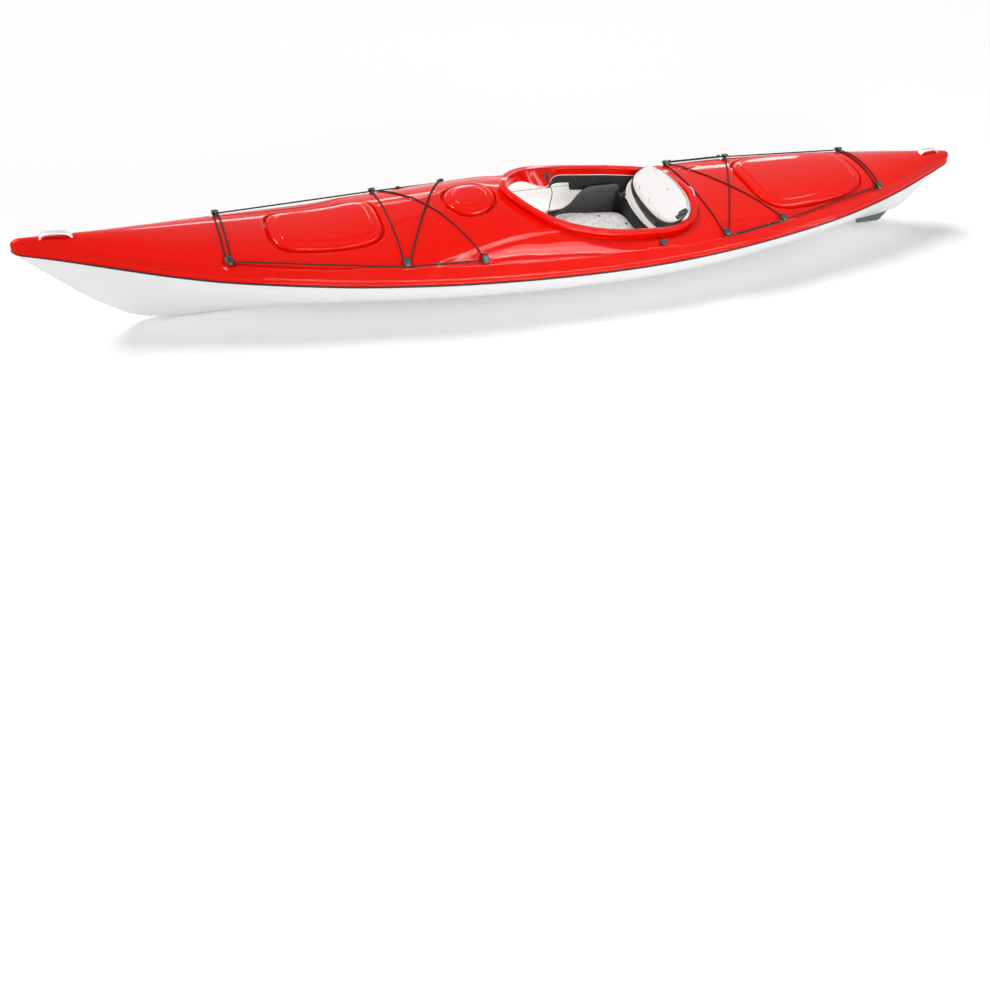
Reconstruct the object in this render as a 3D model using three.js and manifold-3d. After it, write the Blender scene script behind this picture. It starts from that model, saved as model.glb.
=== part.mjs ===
// Sit-in fishing kayak: two bonded shells, three hatches, cockpit with seat, deck lines and a drop skeg.
// Millimetres, +Z up, bow towards -X, stern towards +X, port towards -Y, keel floor on z = 0.
import * as THREE from 'three';
import { mergeVertices } from 'three/addons/utils/BufferGeometryUtils.js';
import Module from 'manifold-3d';

const wasm = await Module();
wasm.setup();

// Driving dimensions of the hull and the deck
const hullLength = 4270;
const hullBeam = 670;
const bowHeight = 412;
const shellWall = 4;
const keelFlat = 15;
const noseRadius = 36;
const noseFlat = 6;
const shoulderHeight = 74;
const shoulderInset = 16;
const lipHeight = 24;
const lipInset = 4;

// Clearances and overruns
const seatGap = 0.3;
const sideGap = 0.4;
const overrun = 12;
const mendGap = 0.1;

// Seam strip
const stripThick = 2.6;
const stripHeight = 11;
const stripWeb = 2;

// Cockpit rim
const cockpitLength = 938;
const cockpitHalfWidth = 274;
const cockpitMiddle = 0.0419 * hullLength;
const cockpitFront = cockpitMiddle - cockpitLength / 2;
const cockpitBack = cockpitMiddle + cockpitLength / 2;
const rimHeight = 28;
const rimReach = 26;
const rimDrop = 11;
const rimWall = 4;
const rimFlange = 18;
const apronDepth = 32;
const frontApronExtra = 16;
const braceReach = 66;
const braceDrop = 22;
const braceSetback = 270;
const bracePlace = cockpitFront + braceSetback;
const braceLength = 62;

// Hatches, with their moats, seals, lids and the pod
const moatWidth = 16;
const moatDepth = 17;
const bowHatchMiddle = -0.2405 * hullLength;
const bowHatchHalfLength = 213;
const bowHatchHalfWidth = 138;
const dayHatchRadius = 102;
const dayHatchGap = 32;
const dayHatchMiddle = cockpitFront - dayHatchGap - dayHatchRadius;
const sternHatchMiddle = 0.2888 * hullLength;
const sternHatchHalfLength = 288;
const sternHatchHalfWidth = 200;
const trayWall = 3;
const upstandInset = 4.5;
const upstandThick = 4.5;
const upstandHeight = 2;
const sealThick = 3.5;
const lidThick = 4;
const lidSkirt = 16;
const lidSkirtWall = 3;
const panelInset = 34;
const panelSlope = 6;
const panelRise = 4;
const podDepth = 118;

// Bulkheads
const bulkheadThick = 12;
const bulkheadGap = 26;
const bowBulkheadPlace = bowHatchMiddle + bowHatchHalfLength + moatWidth + bulkheadGap;
const sternBulkheadSetback = 64;
const sternBulkheadPlace = cockpitBack + sternBulkheadSetback;

// Deck fittings and deck lines
const fittingInset = 30;
const toggleReach = 178;
const foreReach = 10;
const midReach = 22;
const rearReach = 40;
const aftReach = 51;
const tailReach = 61;
const fittingPlaces = {
  toggle: bowHatchMiddle - bowHatchHalfLength - toggleReach,
  fore: bowBulkheadPlace + foreReach,
  mid: dayHatchMiddle - midReach,
  rear: cockpitBack + rearReach,
  aft: sternHatchMiddle - sternHatchHalfLength + aftReach,
  tail: sternHatchMiddle + sternHatchHalfLength + tailReach,
};
const postRadius = 7;
const washerRadius = 11;
const washerThick = 3;
const lineLift = 1.2;
const footGap = 0.6;
const capRadius = 17;
const capThick = 10;
const capStretch = 1.2;
const postSides = 6;
const capSides = 10;
const lineRadius = 3;
const lineStep = 12;
const lineRest = 0.9;
const lineSlack = 0.6;
const lineSides = 5;

// Grab handles
const bowHandleSetback = 153;
const sternHandleSetback = 146;
const bowHandleMiddle = bowHandleSetback - hullLength / 2;
const sternHandleMiddle = hullLength / 2 - sternHandleSetback;
const handleLength = 112;
const handleWidth = 17;
const handleHeight = 23;
const handleThick = 8;
const handleFoot = 20;

// Drop skeg
const skegPivotSetback = 471;
const skegPivotX = hullLength / 2 - skegPivotSetback;
const skegPivotZ = 122;
const skegReach = 74;
const skegLength = 146;
const skegFront = skegPivotX + skegReach;
const skegBack = skegFront + skegLength;
const skegGround = 14;
const skegRake = 44;
const skegThick = 6;
const skegPinRadius = 4;
const skegBoxLength = 308;
const skegBoxReach = 24;
const skegBoxFront = skegPivotX - skegBoxReach;
const skegBoxBack = skegBoxFront + skegBoxLength;
const skegBoxTop = 226;
const skegBoxWall = 3;
const skegSlotWidth = 9;
const skegCableRadius = 3;
const cableSteps = 22;
const cableBend = 16;
const knobSetback = 291;
const knobPlace = cockpitBack - knobSetback;
const trackTail = 85;
const knobRadius = 17;
const knobHeight = 19;
const knobTravel = 60;
const trackWidth = 22;
const trackThick = 4;

// Seat and footrests
const backSetback = 244;
const seatLength = 370;
const seatTail = 28;
const backPivotX = cockpitBack - backSetback;
const backPivotZ = 212;
const seatBack = backPivotX + seatTail;
const seatFront = seatBack - seatLength;
const frontRise = 32;
const seatHalfWidth = 236;
const seatBase = 62;
const seatWall = 4;
const seatWingHeight = 176;
const bearerOffset = 92;
const bearerWidth = 40;
const cushionThick = 52;
const cushionMargin = 12;
const quiltCell = 22;
const quiltRise = 3.2;
const hipPadThick = 18;
const hipPadHeight = 252;
const backLength = 236;
const backHalfWidth = 186;
const backAngle = 36;
const backBend = 30;
const backShellThick = 5;
const backPadThick = 40;
const backPinRadius = 5;
const railLength = 360;
const railSetback = 42;
const railFront = bowBulkheadPlace + railSetback;
const railBack = railFront + railLength;
const railHeight = 128;
const railDepth = 14;
const railTall = 26;
const pedalSetback = 170;
const pedalPlace = railFront + pedalSetback;
const pedalTall = 128;
const pedalWide = 84;
const pedalThick = 14;
const cleatReach = 24;
const cleatPlace = bracePlace + cleatReach;
const cleatShare = 0.45;
const cleatLength = 32;
const cleatWidth = 16;
const cleatHeight = 10;
const liftCordRadius = 2;

// Lines of the hull as shares of its length, half beam and bow height
const beamShares = [[-0.5, 0.07], [-0.471, 0.137], [-0.434, 0.251], [-0.392, 0.39], [-0.329, 0.571],
  [-0.244, 0.746], [-0.16, 0.878], [-0.075, 0.959], [0.01, 1], [0.094, 1], [0.179, 0.94], [0.263, 0.828],
  [0.348, 0.644], [0.415, 0.42], [0.46, 0.235], [0.5, 0.07]];
const seamShares = [[-0.5, 0.888], [-0.4166, 0.745], [-0.3543, 0.65], [-0.2923, 0.587], [-0.23, 0.534],
  [-0.1677, 0.502], [-0.1054, 0.476], [0, 0.455], [0.06, 0.456], [0.1127, 0.466], [0.175, 0.49],
  [0.2372, 0.529], [0.2996, 0.568], [0.3618, 0.624], [0.4241, 0.689], [0.4759, 0.762], [0.5, 0.803]];
const keelShares = [[-0.5, 0.864], [-0.4836, 0.68], [-0.4677, 0.502], [-0.452, 0.335], [-0.4365, 0.204],
  [-0.4255, 0.124], [-0.4148, 0.073], [-0.4042, 0.0485], [-0.3836, 0.024], [-0.344, 0.0097], [-0.281, 0],
  [-0.18, 0], [-0.05, 0], [0.07, 0], [0.1438, 0.0146], [0.206, 0.039], [0.2684, 0.0655], [0.3513, 0.0995],
  [0.384, 0.11], [0.4215, 0.146], [0.445, 0.184], [0.4571, 0.214], [0.4625, 0.25], [0.4674, 0.31],
  [0.4838, 0.544], [0.5, 0.791]];
const crownShares = [[-0.5, 1], [-0.4583, 0.983], [-0.4166, 0.942], [-0.3855, 0.91], [-0.3513, 0.879],
  [-0.3232, 0.85], [-0.2766, 0.813], [-0.2342, 0.8], [-0.1988, 0.837], [-0.1677, 0.879], [-0.1365, 0.913],
  [-0.1054, 0.942], [-0.0742, 0.965], [-0.0468, 0.944], [-0.0234, 0.932], [0, 0.908], [0.0234, 0.864],
  [0.0468, 0.813], [0.0703, 0.767], [0.0937, 0.733], [0.1171, 0.718], [0.1405, 0.718], [0.1593, 0.733],
  [0.206, 0.772], [0.2684, 0.811], [0.3306, 0.85], [0.393, 0.888], [0.4241, 0.908], [0.455, 0.922],
  [0.4759, 0.927], [0.5, 0.913]];
// Stations along the hull, as shares of its length, close together where the stem and stern turn up
const bowStationShares = [0.0011, 0.0043, 0.0105, 0.0195, 0.0323, 0.048, 0.0635, 0.0745, 0.0852, 0.0958,
  0.1164, 0.156, 0.195, 0.235, 0.27];
const midStationShares = [0.305, 0.345, 0.385, 0.42, 0.4532, 0.478, 0.503, 0.528, 0.553, 0.578, 0.605, 0.64,
  0.68, 0.72, 0.76, 0.7984, 0.8306];
const sternStationShares = [0.0011, 0.0043, 0.0105, 0.0195, 0.0326, 0.0375, 0.0429, 0.055, 0.0785, 0.107,
  0.138];
// Cockpit rim seen from above: along its length and across its half width
const rimShares = [[0.035, 0.3], [0.1, 0.575], [0.19, 0.79], [0.31, 0.925], [0.45, 0.99], [0.59, 1],
  [0.72, 0.985], [0.83, 0.915], [0.915, 0.745], [0.975, 0.42]];
const hullCurvePoints = 6;
const innerCurvePoints = 4;
const crownCurvePoints = 6;
const hatchPoints = 28;
const dayHatchPoints = 24;
const rimPoints = 38;
const vShares = { middle: 0.28, ends: 0.85 };
const bilgePowers = { middle: 2.5, ends: 1.3 };
const crownPower = 2.2;
const crownRoundPower = 1.2;
const shoulderShare = 0.62;
const shoulderWidthShare = 0.25;
const keelFlatShare = 0.12;
const tipRiseShare = 0.45;
const cornerPowers = { bow: 4.4, day: 2, stern: 3.5 };
const hatchTapers = { bow: 0.09, day: 0, stern: -0.12 };

const paints = {
  deckRed: { color: 0xe8230f, roughness: 0.16, metalness: 0 },
  hullWhite: { color: 0xeceef0, roughness: 0.25, metalness: 0 },
  trimBlack: { color: 0x15161a, roughness: 0.55, metalness: 0 },
  fittingGrey: { color: 0x3a3b3f, roughness: 0.5, metalness: 0 },
  lineBlack: { color: 0x111114, roughness: 0.8, metalness: 0 },
  handleSilver: { color: 0xdcd9d6, roughness: 0.35, metalness: 0.1 },
  skegGreen: { color: 0x5c6a60, roughness: 0.5, metalness: 0 },
  cushionWhite: { color: 0xe9e7e4, roughness: 0.7, metalness: 0 },
  foamBlack: { color: 0x232427, roughness: 0.85, metalness: 0 },
  panGrey: { color: 0xd6d3cd, roughness: 0.5, metalness: 0 },
  steel: { color: 0xb6b9bd, roughness: 0.3, metalness: 0.9 },
};

const kayak = new THREE.Group();
kayak.name = 'sit_in_fishing_kayak';

// Small tools for solids
function solidOf(points, triangles) {
  const flat = new Float32Array(points.flat());
  let faces = new Uint32Array(triangles.flat());
  let solid = new wasm.Manifold(new wasm.Mesh({ numProp: 3, vertProperties: flat, triVerts: faces }));
  if (solid.volume() < 0) {
    faces = new Uint32Array(triangles.flatMap(([a, b, c]) => [a, c, b]));
    solid = new wasm.Manifold(new wasm.Mesh({ numProp: 3, vertProperties: flat, triVerts: faces }));
  }
  return solid;
}

function solidFromGeometry(geometry, matrix) {
  const plain = geometry.clone();
  plain.deleteAttribute('normal');
  plain.deleteAttribute('uv');
  if (matrix) plain.applyMatrix4(matrix);
  const merged = mergeVertices(plain);
  const place = merged.attributes.position;
  const points = [];
  for (let i = 0; i < place.count; i++) points.push([place.getX(i), place.getY(i), place.getZ(i)]);
  const triangles = [];
  for (let i = 0; i < merged.index.count; i += 3) {
    const [a, b, c] = [merged.index.getX(i), merged.index.getX(i + 1), merged.index.getX(i + 2)];
    if (a !== b && b !== c && a !== c) triangles.push([a, b, c]);
  }
  return solidOf(points, triangles);
}

function geometryOf(solid) {
  const mesh = solid.simplify(mendGap).getMesh();
  const geometry = new THREE.BufferGeometry();
  geometry.setAttribute('position', new THREE.BufferAttribute(new Float32Array(mesh.vertProperties), 3));
  geometry.setIndex(new THREE.BufferAttribute(new Uint32Array(mesh.triVerts), 1));
  const shaded = geometry.toNonIndexed();
  shaded.computeVertexNormals();
  return shaded;
}

function add(name, solid, paint, group = kayak) {
  const mesh = new THREE.Mesh(geometryOf(solid), new THREE.MeshStandardMaterial(paints[paint]));
  mesh.name = name;
  group.add(mesh);
  return mesh;
}

// Skin through rings of equal counts; an open run gets flat ends, a closed run joins its last ring to its first
function loft(rings, closedRun = false) {
  const count = rings[0].length;
  const points = rings.flat();
  const triangles = [];
  const runs = closedRun ? rings.length : rings.length - 1;
  for (let i = 0; i < runs; i++) {
    const next = (i + 1) % rings.length;
    for (let j = 0; j < count; j++) {
      const turn = (j + 1) % count;
      triangles.push([i * count + j, next * count + j, next * count + turn]);
      triangles.push([i * count + j, next * count + turn, i * count + turn]);
    }
  }
  if (!closedRun) {
    closeEnd(rings[0], 0, triangles, true);
    closeEnd(rings[rings.length - 1], (rings.length - 1) * count, triangles, false);
  }
  return solidOf(points, triangles);
}

// Flat end of a loft, cut into triangles in the plane that the ring fills best
function closeEnd(ring, first, triangles, isFirst) {
  const spans = [0, 1, 2].map((axis) => {
    const values = ring.map((point) => point[axis]);
    return Math.max(...values) - Math.min(...values);
  });
  const dropped = spans.indexOf(Math.min(...spans));
  const [u, v] = [0, 1, 2].filter((axis) => axis !== dropped);
  const flat = ring.map((point) => new THREE.Vector2(point[u], point[v]));
  const faces = THREE.ShapeUtils.triangulateShape(flat, []);
  const sense = ringSense(ring, u, v);
  for (const [a, b, c] of faces) {
    const forward = ringSense([ring[a], ring[b], ring[c]], u, v) === sense;
    const face = forward === isFirst ? [first + a, first + b, first + c] : [first + a, first + c, first + b];
    triangles.push(face);
  }
}

function ringSense(ring, u, v) {
  let sum = 0;
  ring.forEach((point, i) => {
    const next = ring[(i + 1) % ring.length];
    sum += point[u] * next[v] - next[u] * point[v];
  });
  return Math.sign(sum);
}

// Closed skin from a pole through rings to a pole
function cappedSkin(topPole, rings, bottomPole) {
  const count = rings[0].length;
  const points = [topPole, ...rings.flat(), bottomPole];
  const triangles = [];
  const last = points.length - 1;
  for (let j = 0; j < count; j++) {
    const turn = (j + 1) % count;
    triangles.push([0, 1 + j, 1 + turn]);
    triangles.push([last, 1 + (rings.length - 1) * count + turn, 1 + (rings.length - 1) * count + j]);
    for (let i = 0; i < rings.length - 1; i++) {
      const here = 1 + i * count;
      const below = here + count;
      triangles.push([here + j, below + j, below + turn]);
      triangles.push([here + j, below + turn, here + turn]);
    }
  }
  return solidOf(points, triangles);
}

function box(x0, x1, y0, y1, z0, z1) {
  const geometry = new THREE.BoxGeometry(x1 - x0, y1 - y0, z1 - z0);
  geometry.translate((x0 + x1) / 2, (y0 + y1) / 2, (z0 + z1) / 2);
  return solidFromGeometry(geometry);
}

function lathe(profile, sides, matrix) {
  return solidFromGeometry(new THREE.LatheGeometry(profile.map(([r, h]) => new THREE.Vector2(r, h)), sides),
    matrix);
}

function prism(outline, z0, z1) {
  return loft([outline.map(([x, y]) => [x, y, z0]), outline.map(([x, y]) => [x, y, z1])]);
}

function smoothCurve(table, unit) {
  const curve = new THREE.CubicInterpolant(table.map((row) => row[0] * hullLength),
    table.map((row) => row[1] * unit), 1);
  return (x) => curve.evaluate(x)[0];
}

const tableBeam = smoothCurve(beamShares, hullBeam / 2);
const seamLine = smoothCurve(seamShares, bowHeight);
const keelCurve = smoothCurve(keelShares, bowHeight);
const crownCurve = smoothCurve(crownShares, bowHeight);

// Roundness of the nose and tail: 0 at the very tip, 1 past the nose radius
function noseRound(x) {
  const depth = Math.min(noseRadius, hullLength / 2 - Math.abs(x));
  return Math.sqrt(Math.max(0, 1 - (1 - depth / noseRadius) ** 2));
}

const halfBeam = (x) => Math.max(noseFlat, tableBeam(x) * noseRound(x));
const keelLine = (x) => Math.max(0, keelCurve(x));
const crownLine = (x) => {
  const seam = seamLine(x);
  return seam + (crownCurve(x) - seam) * (tipRiseShare + (1 - tipRiseShare) * noseRound(x));
};

const seamGap = stripWeb + 2 * seatGap;
const stations = [
  -hullLength / 2,
  ...bowStationShares.map((share) => (share - 0.5) * hullLength),
  ...midStationShares.map((share) => (share - 0.5) * hullLength),
  ...sternStationShares.toReversed().map((share) => (0.5 - share) * hullLength),
  hullLength / 2,
];
const innerStations = stations.filter((x) => halfBeam(x) > 2 * noseFlat + shellWall + noseFlat
  && Math.abs(x) < hullLength / 2 - noseRadius);

// Hull section from the port seam down to the keel and up to the starboard seam
function hullSection(x, inset, rise = 0) {
  const curvePoints = inset ? innerCurvePoints : hullCurvePoints;
  const full = halfBeam(x) / (hullBeam / 2);
  const width = halfBeam(x) - inset;
  const flat = Math.min(keelFlat, keelFlatShare * halfBeam(x));
  const top = seamLine(x) - seamGap / 2;
  const vShare = vShares.ends + (vShares.middle - vShares.ends) * full;
  const power = bilgePowers.ends + (bilgePowers.middle - bilgePowers.ends) * full;
  const depth = Math.max(noseFlat, top - keelLine(x));
  const lift = inset * Math.hypot(1, vShare * depth / halfBeam(x));
  const bottom = top - depth + lift;
  const half = [];
  for (let j = 0; j <= curvePoints; j++) {
    const angle = j / curvePoints * Math.PI / 2;
    const across = Math.sin(angle) ** (2 / power);
    const up = 1 - Math.cos(angle) ** (2 / power);
    half.push([flat + (width - flat) * across, bottom + (top - bottom) * (vShare * across + (1 - vShare) * up)]);
  }
  if (rise) half.push([width, top + rise]);
  const port = half.toReversed().map(([y, z]) => [x, -y, z]);
  return [...port, ...half.map(([y, z]) => [x, y, z])];
}

// Deck section from the port seam over the crown to the starboard seam
function deckSection(x, inset, drop = 0) {
  const curvePoints = inset ? innerCurvePoints : crownCurvePoints;
  const width = halfBeam(x) - inset;
  const bottom = seamLine(x) + seamGap / 2;
  const crown = crownLine(x);
  const rise = Math.min(shoulderHeight, shoulderShare * (crown - bottom));
  const inward = Math.min(shoulderInset, shoulderWidthShare * halfBeam(x));
  const lip = Math.min(lipHeight, rise / 2);
  const shoulder = [halfBeam(x) - inward - inset, bottom + rise - inset / 2];
  const half = [[width, bottom], [width - Math.min(lipInset, inward / 2), bottom + lip]];
  for (let j = 0; j <= curvePoints; j++) {
    const across = Math.cos(j / curvePoints * Math.PI / 2);
    const up = (1 - across ** crownPower) ** (1 / crownRoundPower);
    half.push([shoulder[0] * across, shoulder[1] + (crown - inset - shoulder[1]) * up]);
  }
  half[half.length - 1][0] = 0;
  if (drop) half.unshift([width, bottom - drop]);
  const port = half.map(([y, z]) => [x, -y, z]);
  const starboard = half.slice(0, -1).toReversed().map(([y, z]) => [x, y, z]);
  return [...port, ...starboard];
}

const deckRings = stations.map((x) => deckSection(x, 0));
const deckSolid = loft(deckRings);
const deckInside = (inset, drop = overrun) => loft(innerStations.map((x) => deckSection(x, inset, drop)));
const hullSolid = loft(stations.map((x) => hullSection(x, 0)));
const hullInside = (inset, rise = overrun) => loft(innerStations.map((x) => hullSection(x, inset, rise)));
const insideRoom = hullInside(shellWall + seatGap, 0).add(deckInside(shellWall + seatGap, seamGap + sideGap));
const hullRoom = hullInside(shellWall + seatGap);

// Height of the deck's faceted top at a point, and its slope there
function deckTop(x, y) {
  const i = Math.min(stations.length - 2, Math.max(0, stations.findIndex((place) => place > x) - 1));
  const [near, far] = [deckRings[i], deckRings[i + 1]];
  for (let j = 0; j < near.length - 1; j++) {
    const corners = [near[j], far[j], far[j + 1], near[j + 1]];
    for (const [a, b, c] of [[0, 1, 2], [0, 2, 3]]) {
      const height = heightIn(corners[a], corners[b], corners[c], x, y);
      if (height !== null) return height;
    }
  }
  return seamLine(x);
}

function heightIn(a, b, c, x, y) {
  const area = (b[0] - a[0]) * (c[1] - a[1]) - (c[0] - a[0]) * (b[1] - a[1]);
  if (Math.abs(area) === 0) return null;
  const u = ((x - a[0]) * (c[1] - a[1]) - (c[0] - a[0]) * (y - a[1])) / area;
  const v = ((b[0] - a[0]) * (y - a[1]) - (x - a[0]) * (b[1] - a[1])) / area;
  const slack = -1e-9;
  return u >= slack && v >= slack && u + v <= 1 - slack ? a[2] + u * (b[2] - a[2]) + v * (c[2] - a[2]) : null;
}

function deckNormal(x, y) {
  const reach = washerRadius;
  const slopeX = (deckTop(x + reach, y) - deckTop(x - reach, y)) / (2 * reach);
  const slopeY = (deckTop(x, y + reach) - deckTop(x, y - reach)) / (2 * reach);
  return new THREE.Vector3(-slopeX, -slopeY, 1).normalize();
}

const onDeck = (solid) => solid.subtract(deckSolid.translate([0, 0, seatGap]));

// Outlines seen from above, each as points with outward normals
function outlineWith(points) {
  return points.map((point, i) => {
    const before = points[(i + points.length - 1) % points.length];
    const after = points[(i + 1) % points.length];
    const along = new THREE.Vector2(after[0] - before[0], after[1] - before[1]).normalize();
    return { x: point[0], y: point[1], nx: along.y, ny: -along.x };
  });
}

const shifted = (outline, distance) => outline.map((p) => [p.x + p.nx * distance, p.y + p.ny * distance]);

// Rounded hatch shape: a superellipse whose half width changes along its length
function hatchOutline(middle, halfLength, halfWidth, power, taper, count) {
  const points = [];
  for (let i = 0; i < count; i++) {
    const angle = (i + 0.5) / count * 2 * Math.PI;
    const along = Math.sign(Math.cos(angle)) * Math.abs(Math.cos(angle)) ** (2 / power);
    const across = Math.sign(Math.sin(angle)) * Math.abs(Math.sin(angle)) ** (2 / power);
    points.push([middle + halfLength * along, halfWidth * (1 + taper * along) * across]);
  }
  return outlineWith(points);
}

// Cockpit rim outline: a closed curve through the shares, front tip and back end on the centreline
function rimOutline() {
  const front = cockpitMiddle - cockpitLength / 2;
  const side = rimShares.map(([along, across]) => [front + along * cockpitLength, across * cockpitHalfWidth]);
  const loop = [[front, 0], ...side, [front + cockpitLength, 0], ...side.toReversed().map(([x, y]) => [x, -y])];
  const curve = new THREE.CatmullRomCurve3(loop.map(([x, y]) => new THREE.Vector3(x, -y, 0)), true);
  return outlineWith(curve.getSpacedPoints(rimPoints).slice(0, rimPoints).map((p) => [p.x, p.y]));
}

// Ring round an outline, whose section is given as distance outward and height over the deck
function deckRing(outline, section) {
  return loft(outline.map((p) => section(p).map(([r, h]) => {
    const [x, y] = [p.x + p.nx * r, p.y + p.ny * r];
    return [x, y, deckTop(x, y) + h];
  })), true);
}

// Cockpit rim with lip, base flange, apron and thigh braces
const rimLine = rimOutline();
const rimWallLine = outlineWith(shifted(rimLine, -rimReach));
const deckOpenings = [prism(shifted(rimWallLine, 1 + seatGap), 0, 2 * bowHeight)];

// Depth and inward reach of the apron: deepest and widest at the thigh braces
function apronAt(p) {
  const brace = Math.exp(-(((p.x - bracePlace) / braceLength) ** 2)) * Math.min(1, Math.abs(p.y) / braceReach);
  const fore = Math.min(1, Math.max(0, (bracePlace - p.x) / braceLength));
  return {
    inward: rimWall / 2 + braceReach * brace,
    depth: apronDepth + frontApronExtra * fore + braceDrop * brace,
    top: deckTop(p.x, p.y) + rimHeight,
  };
}

function buildCoaming() {
  const rings = rimWallLine.map((p) => {
    const { inward, depth, top } = apronAt(p);
    const base = top - rimHeight;
    const flangeFoot = deckTop(p.x + p.nx * rimFlange, p.y + p.ny * rimFlange);
    const section = [
      [rimReach, top - rimDrop],
      [rimReach, top - rimWall],
      [rimReach - rimWall, top],
      [-rimWall / 2, top],
      [-rimWall, top - rimWall],
      [-rimWall - inward, top - depth],
      [-inward, top - depth - rimWall / 2],
      [0, base - 2 * rimWall],
      [0, base - seatGap],
      [rimFlange, flangeFoot - seatGap],
      [rimFlange, flangeFoot + rimWall / 2],
      [rimWall / 2, base + rimWall],
      [rimWall / 2, top - rimWall],
      [rimReach - rimWall, top - rimWall - seatGap],
      [rimReach - rimWall, top - rimDrop],
    ];
    return section.map(([r, z]) => [p.x + p.nx * r, p.y + p.ny * r, z]);
  });
  return loft(rings, true);
}

// Hatch: tray with a moat and an upstand, a seal on the upstand, and a lid that presses over it
function buildHatch(name, outline, middle) {
  const tray = deckRing(outline, () => [
    [moatWidth - seatGap, 0], [moatWidth - seatGap, -moatDepth - trayWall],
    [-upstandInset - upstandThick, -moatDepth - trayWall], [-upstandInset - upstandThick, upstandHeight],
    [-upstandInset, upstandHeight], [-upstandInset, -moatDepth],
    [moatWidth - seatGap - trayWall, -moatDepth], [moatWidth - seatGap - trayWall, 0],
  ]);
  const sealFoot = upstandHeight + seatGap;
  const sealTop = sealFoot + sealThick;
  const seal = deckRing(outline, () => [
    [-upstandInset, sealFoot], [-upstandInset - upstandThick, sealFoot],
    [-upstandInset - upstandThick, sealTop], [-upstandInset, sealTop],
  ]);
  const under = sealTop + seatGap;
  const top = under + lidThick;
  const levels = [
    [0, 0.5, top + panelRise], [panelInset + panelSlope, 1, top + panelRise], [panelInset, 1, top],
    [lidThick, 1, top], [0, 1, top - lidThick / 2], [0, 1, under - lidSkirt], [lidSkirtWall, 1, under - lidSkirt],
    [lidSkirtWall, 1, under], [upstandInset, 1, under], [upstandInset + upstandThick, 1, under], [0, 0.5, under],
  ];
  const rings = levels.map(([inset, scale, height]) => shifted(outline, -inset).map(([x, y]) => {
    const [px, py] = [middle + (x - middle) * scale, y * scale];
    return [px, py, deckTop(px, py) + height];
  }));
  const middleTop = deckTop(middle, 0);
  const lid = cappedSkin([middle, 0, middleTop + top + panelRise], rings, [middle, 0, middleTop + under]);
  deckOpenings.push(prism(shifted(outline, moatWidth), 0, 2 * bowHeight));
  add(`${name}_hatch_rim`, tray, 'deckRed');
  add(`${name}_hatch_seal`, seal, 'trimBlack');
  add(`${name}_hatch_lid`, lid, 'deckRed');
}

const bowHatch = hatchOutline(bowHatchMiddle, bowHatchHalfLength, bowHatchHalfWidth, cornerPowers.bow,
  hatchTapers.bow, hatchPoints);
const dayHatch = hatchOutline(dayHatchMiddle, dayHatchRadius, dayHatchRadius, cornerPowers.day,
  hatchTapers.day, dayHatchPoints);
const sternHatch = hatchOutline(sternHatchMiddle, sternHatchHalfLength, sternHatchHalfWidth, cornerPowers.stern,
  hatchTapers.stern, hatchPoints);
buildHatch('bow', bowHatch, bowHatchMiddle);
buildHatch('day', dayHatch, dayHatchMiddle);
buildHatch('stern', sternHatch, sternHatchMiddle);

// Frame on the deck at a point: first axis across, second along the deck's normal, third along the hull
function deckFrame(x, y) {
  const normal = deckNormal(x, y);
  const across = normal.clone().cross(new THREE.Vector3(1, 0, 0)).normalize();
  const along = across.clone().cross(normal);
  const matrix = new THREE.Matrix4().makeBasis(across, normal, along);
  return { matrix: matrix.setPosition(x, y, deckTop(x, y)), across, normal, along };
}

// Deck fittings: a washer and a post under an oval cap, with room for the line between them
const lineHeight = washerThick + lineLift + lineRadius;
const capFoot = lineHeight + lineRadius + seatGap;
const wrapRadius = postRadius + seatGap + lineRadius;

function fittingAt(place, side) {
  const x = fittingPlaces[place];
  const y = side * (halfBeam(x) - fittingInset);
  return { place, side, ...deckFrame(x, y), origin: new THREE.Vector3(x, y, deckTop(x, y)) };
}

function buildFitting(fitting) {
  const post = lathe([[0, footGap], [washerRadius, footGap], [washerRadius, washerThick],
    [postRadius, washerThick], [postRadius, capFoot + seatGap], [0, capFoot + seatGap]], postSides, fitting.matrix);
  const cap = lathe([[0, capFoot], [capRadius, capFoot], [capRadius * 0.94, capFoot + capThick * 0.6],
    [capRadius * 0.6, capFoot + capThick], [0, capFoot + capThick]], capSides,
  fitting.matrix.clone().scale(new THREE.Vector3(capStretch, 1, 1)));
  return post.add(cap);
}

const fittings = {};
for (const place of Object.keys(fittingPlaces)) {
  for (const [side, sideName] of [[-1, 'port'], [1, 'starboard']]) {
    const fitting = fittingAt(place, side);
    fittings[`${place}_${sideName}`] = fitting;
    add(`deck_fitting_${place}_${sideName}`, buildFitting(fitting), 'fittingGrey');
  }
}

// Point beside a fitting's post: the angle turns from the stern towards starboard
function besidePost(fitting, degrees, radius) {
  const angle = degrees * Math.PI / 180;
  return fitting.origin.clone()
    .addScaledVector(fitting.normal, lineHeight)
    .addScaledVector(fitting.along, Math.cos(angle) * radius)
    .addScaledVector(fitting.across, Math.sin(angle) * radius);
}

function wrapPost(fitting, from, to) {
  const turns = 6;
  const points = [];
  for (let i = 0; i <= turns; i++) points.push(besidePost(fitting, from + (to - from) * i / turns, wrapRadius));
  return points;
}

// Least height of a line's middle over the deck, so that it rests on a sloping surface
function restHeight(x, y) {
  return deckTop(x, y) + (lineRadius + lineRest) / deckNormal(x, y).z;
}

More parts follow.
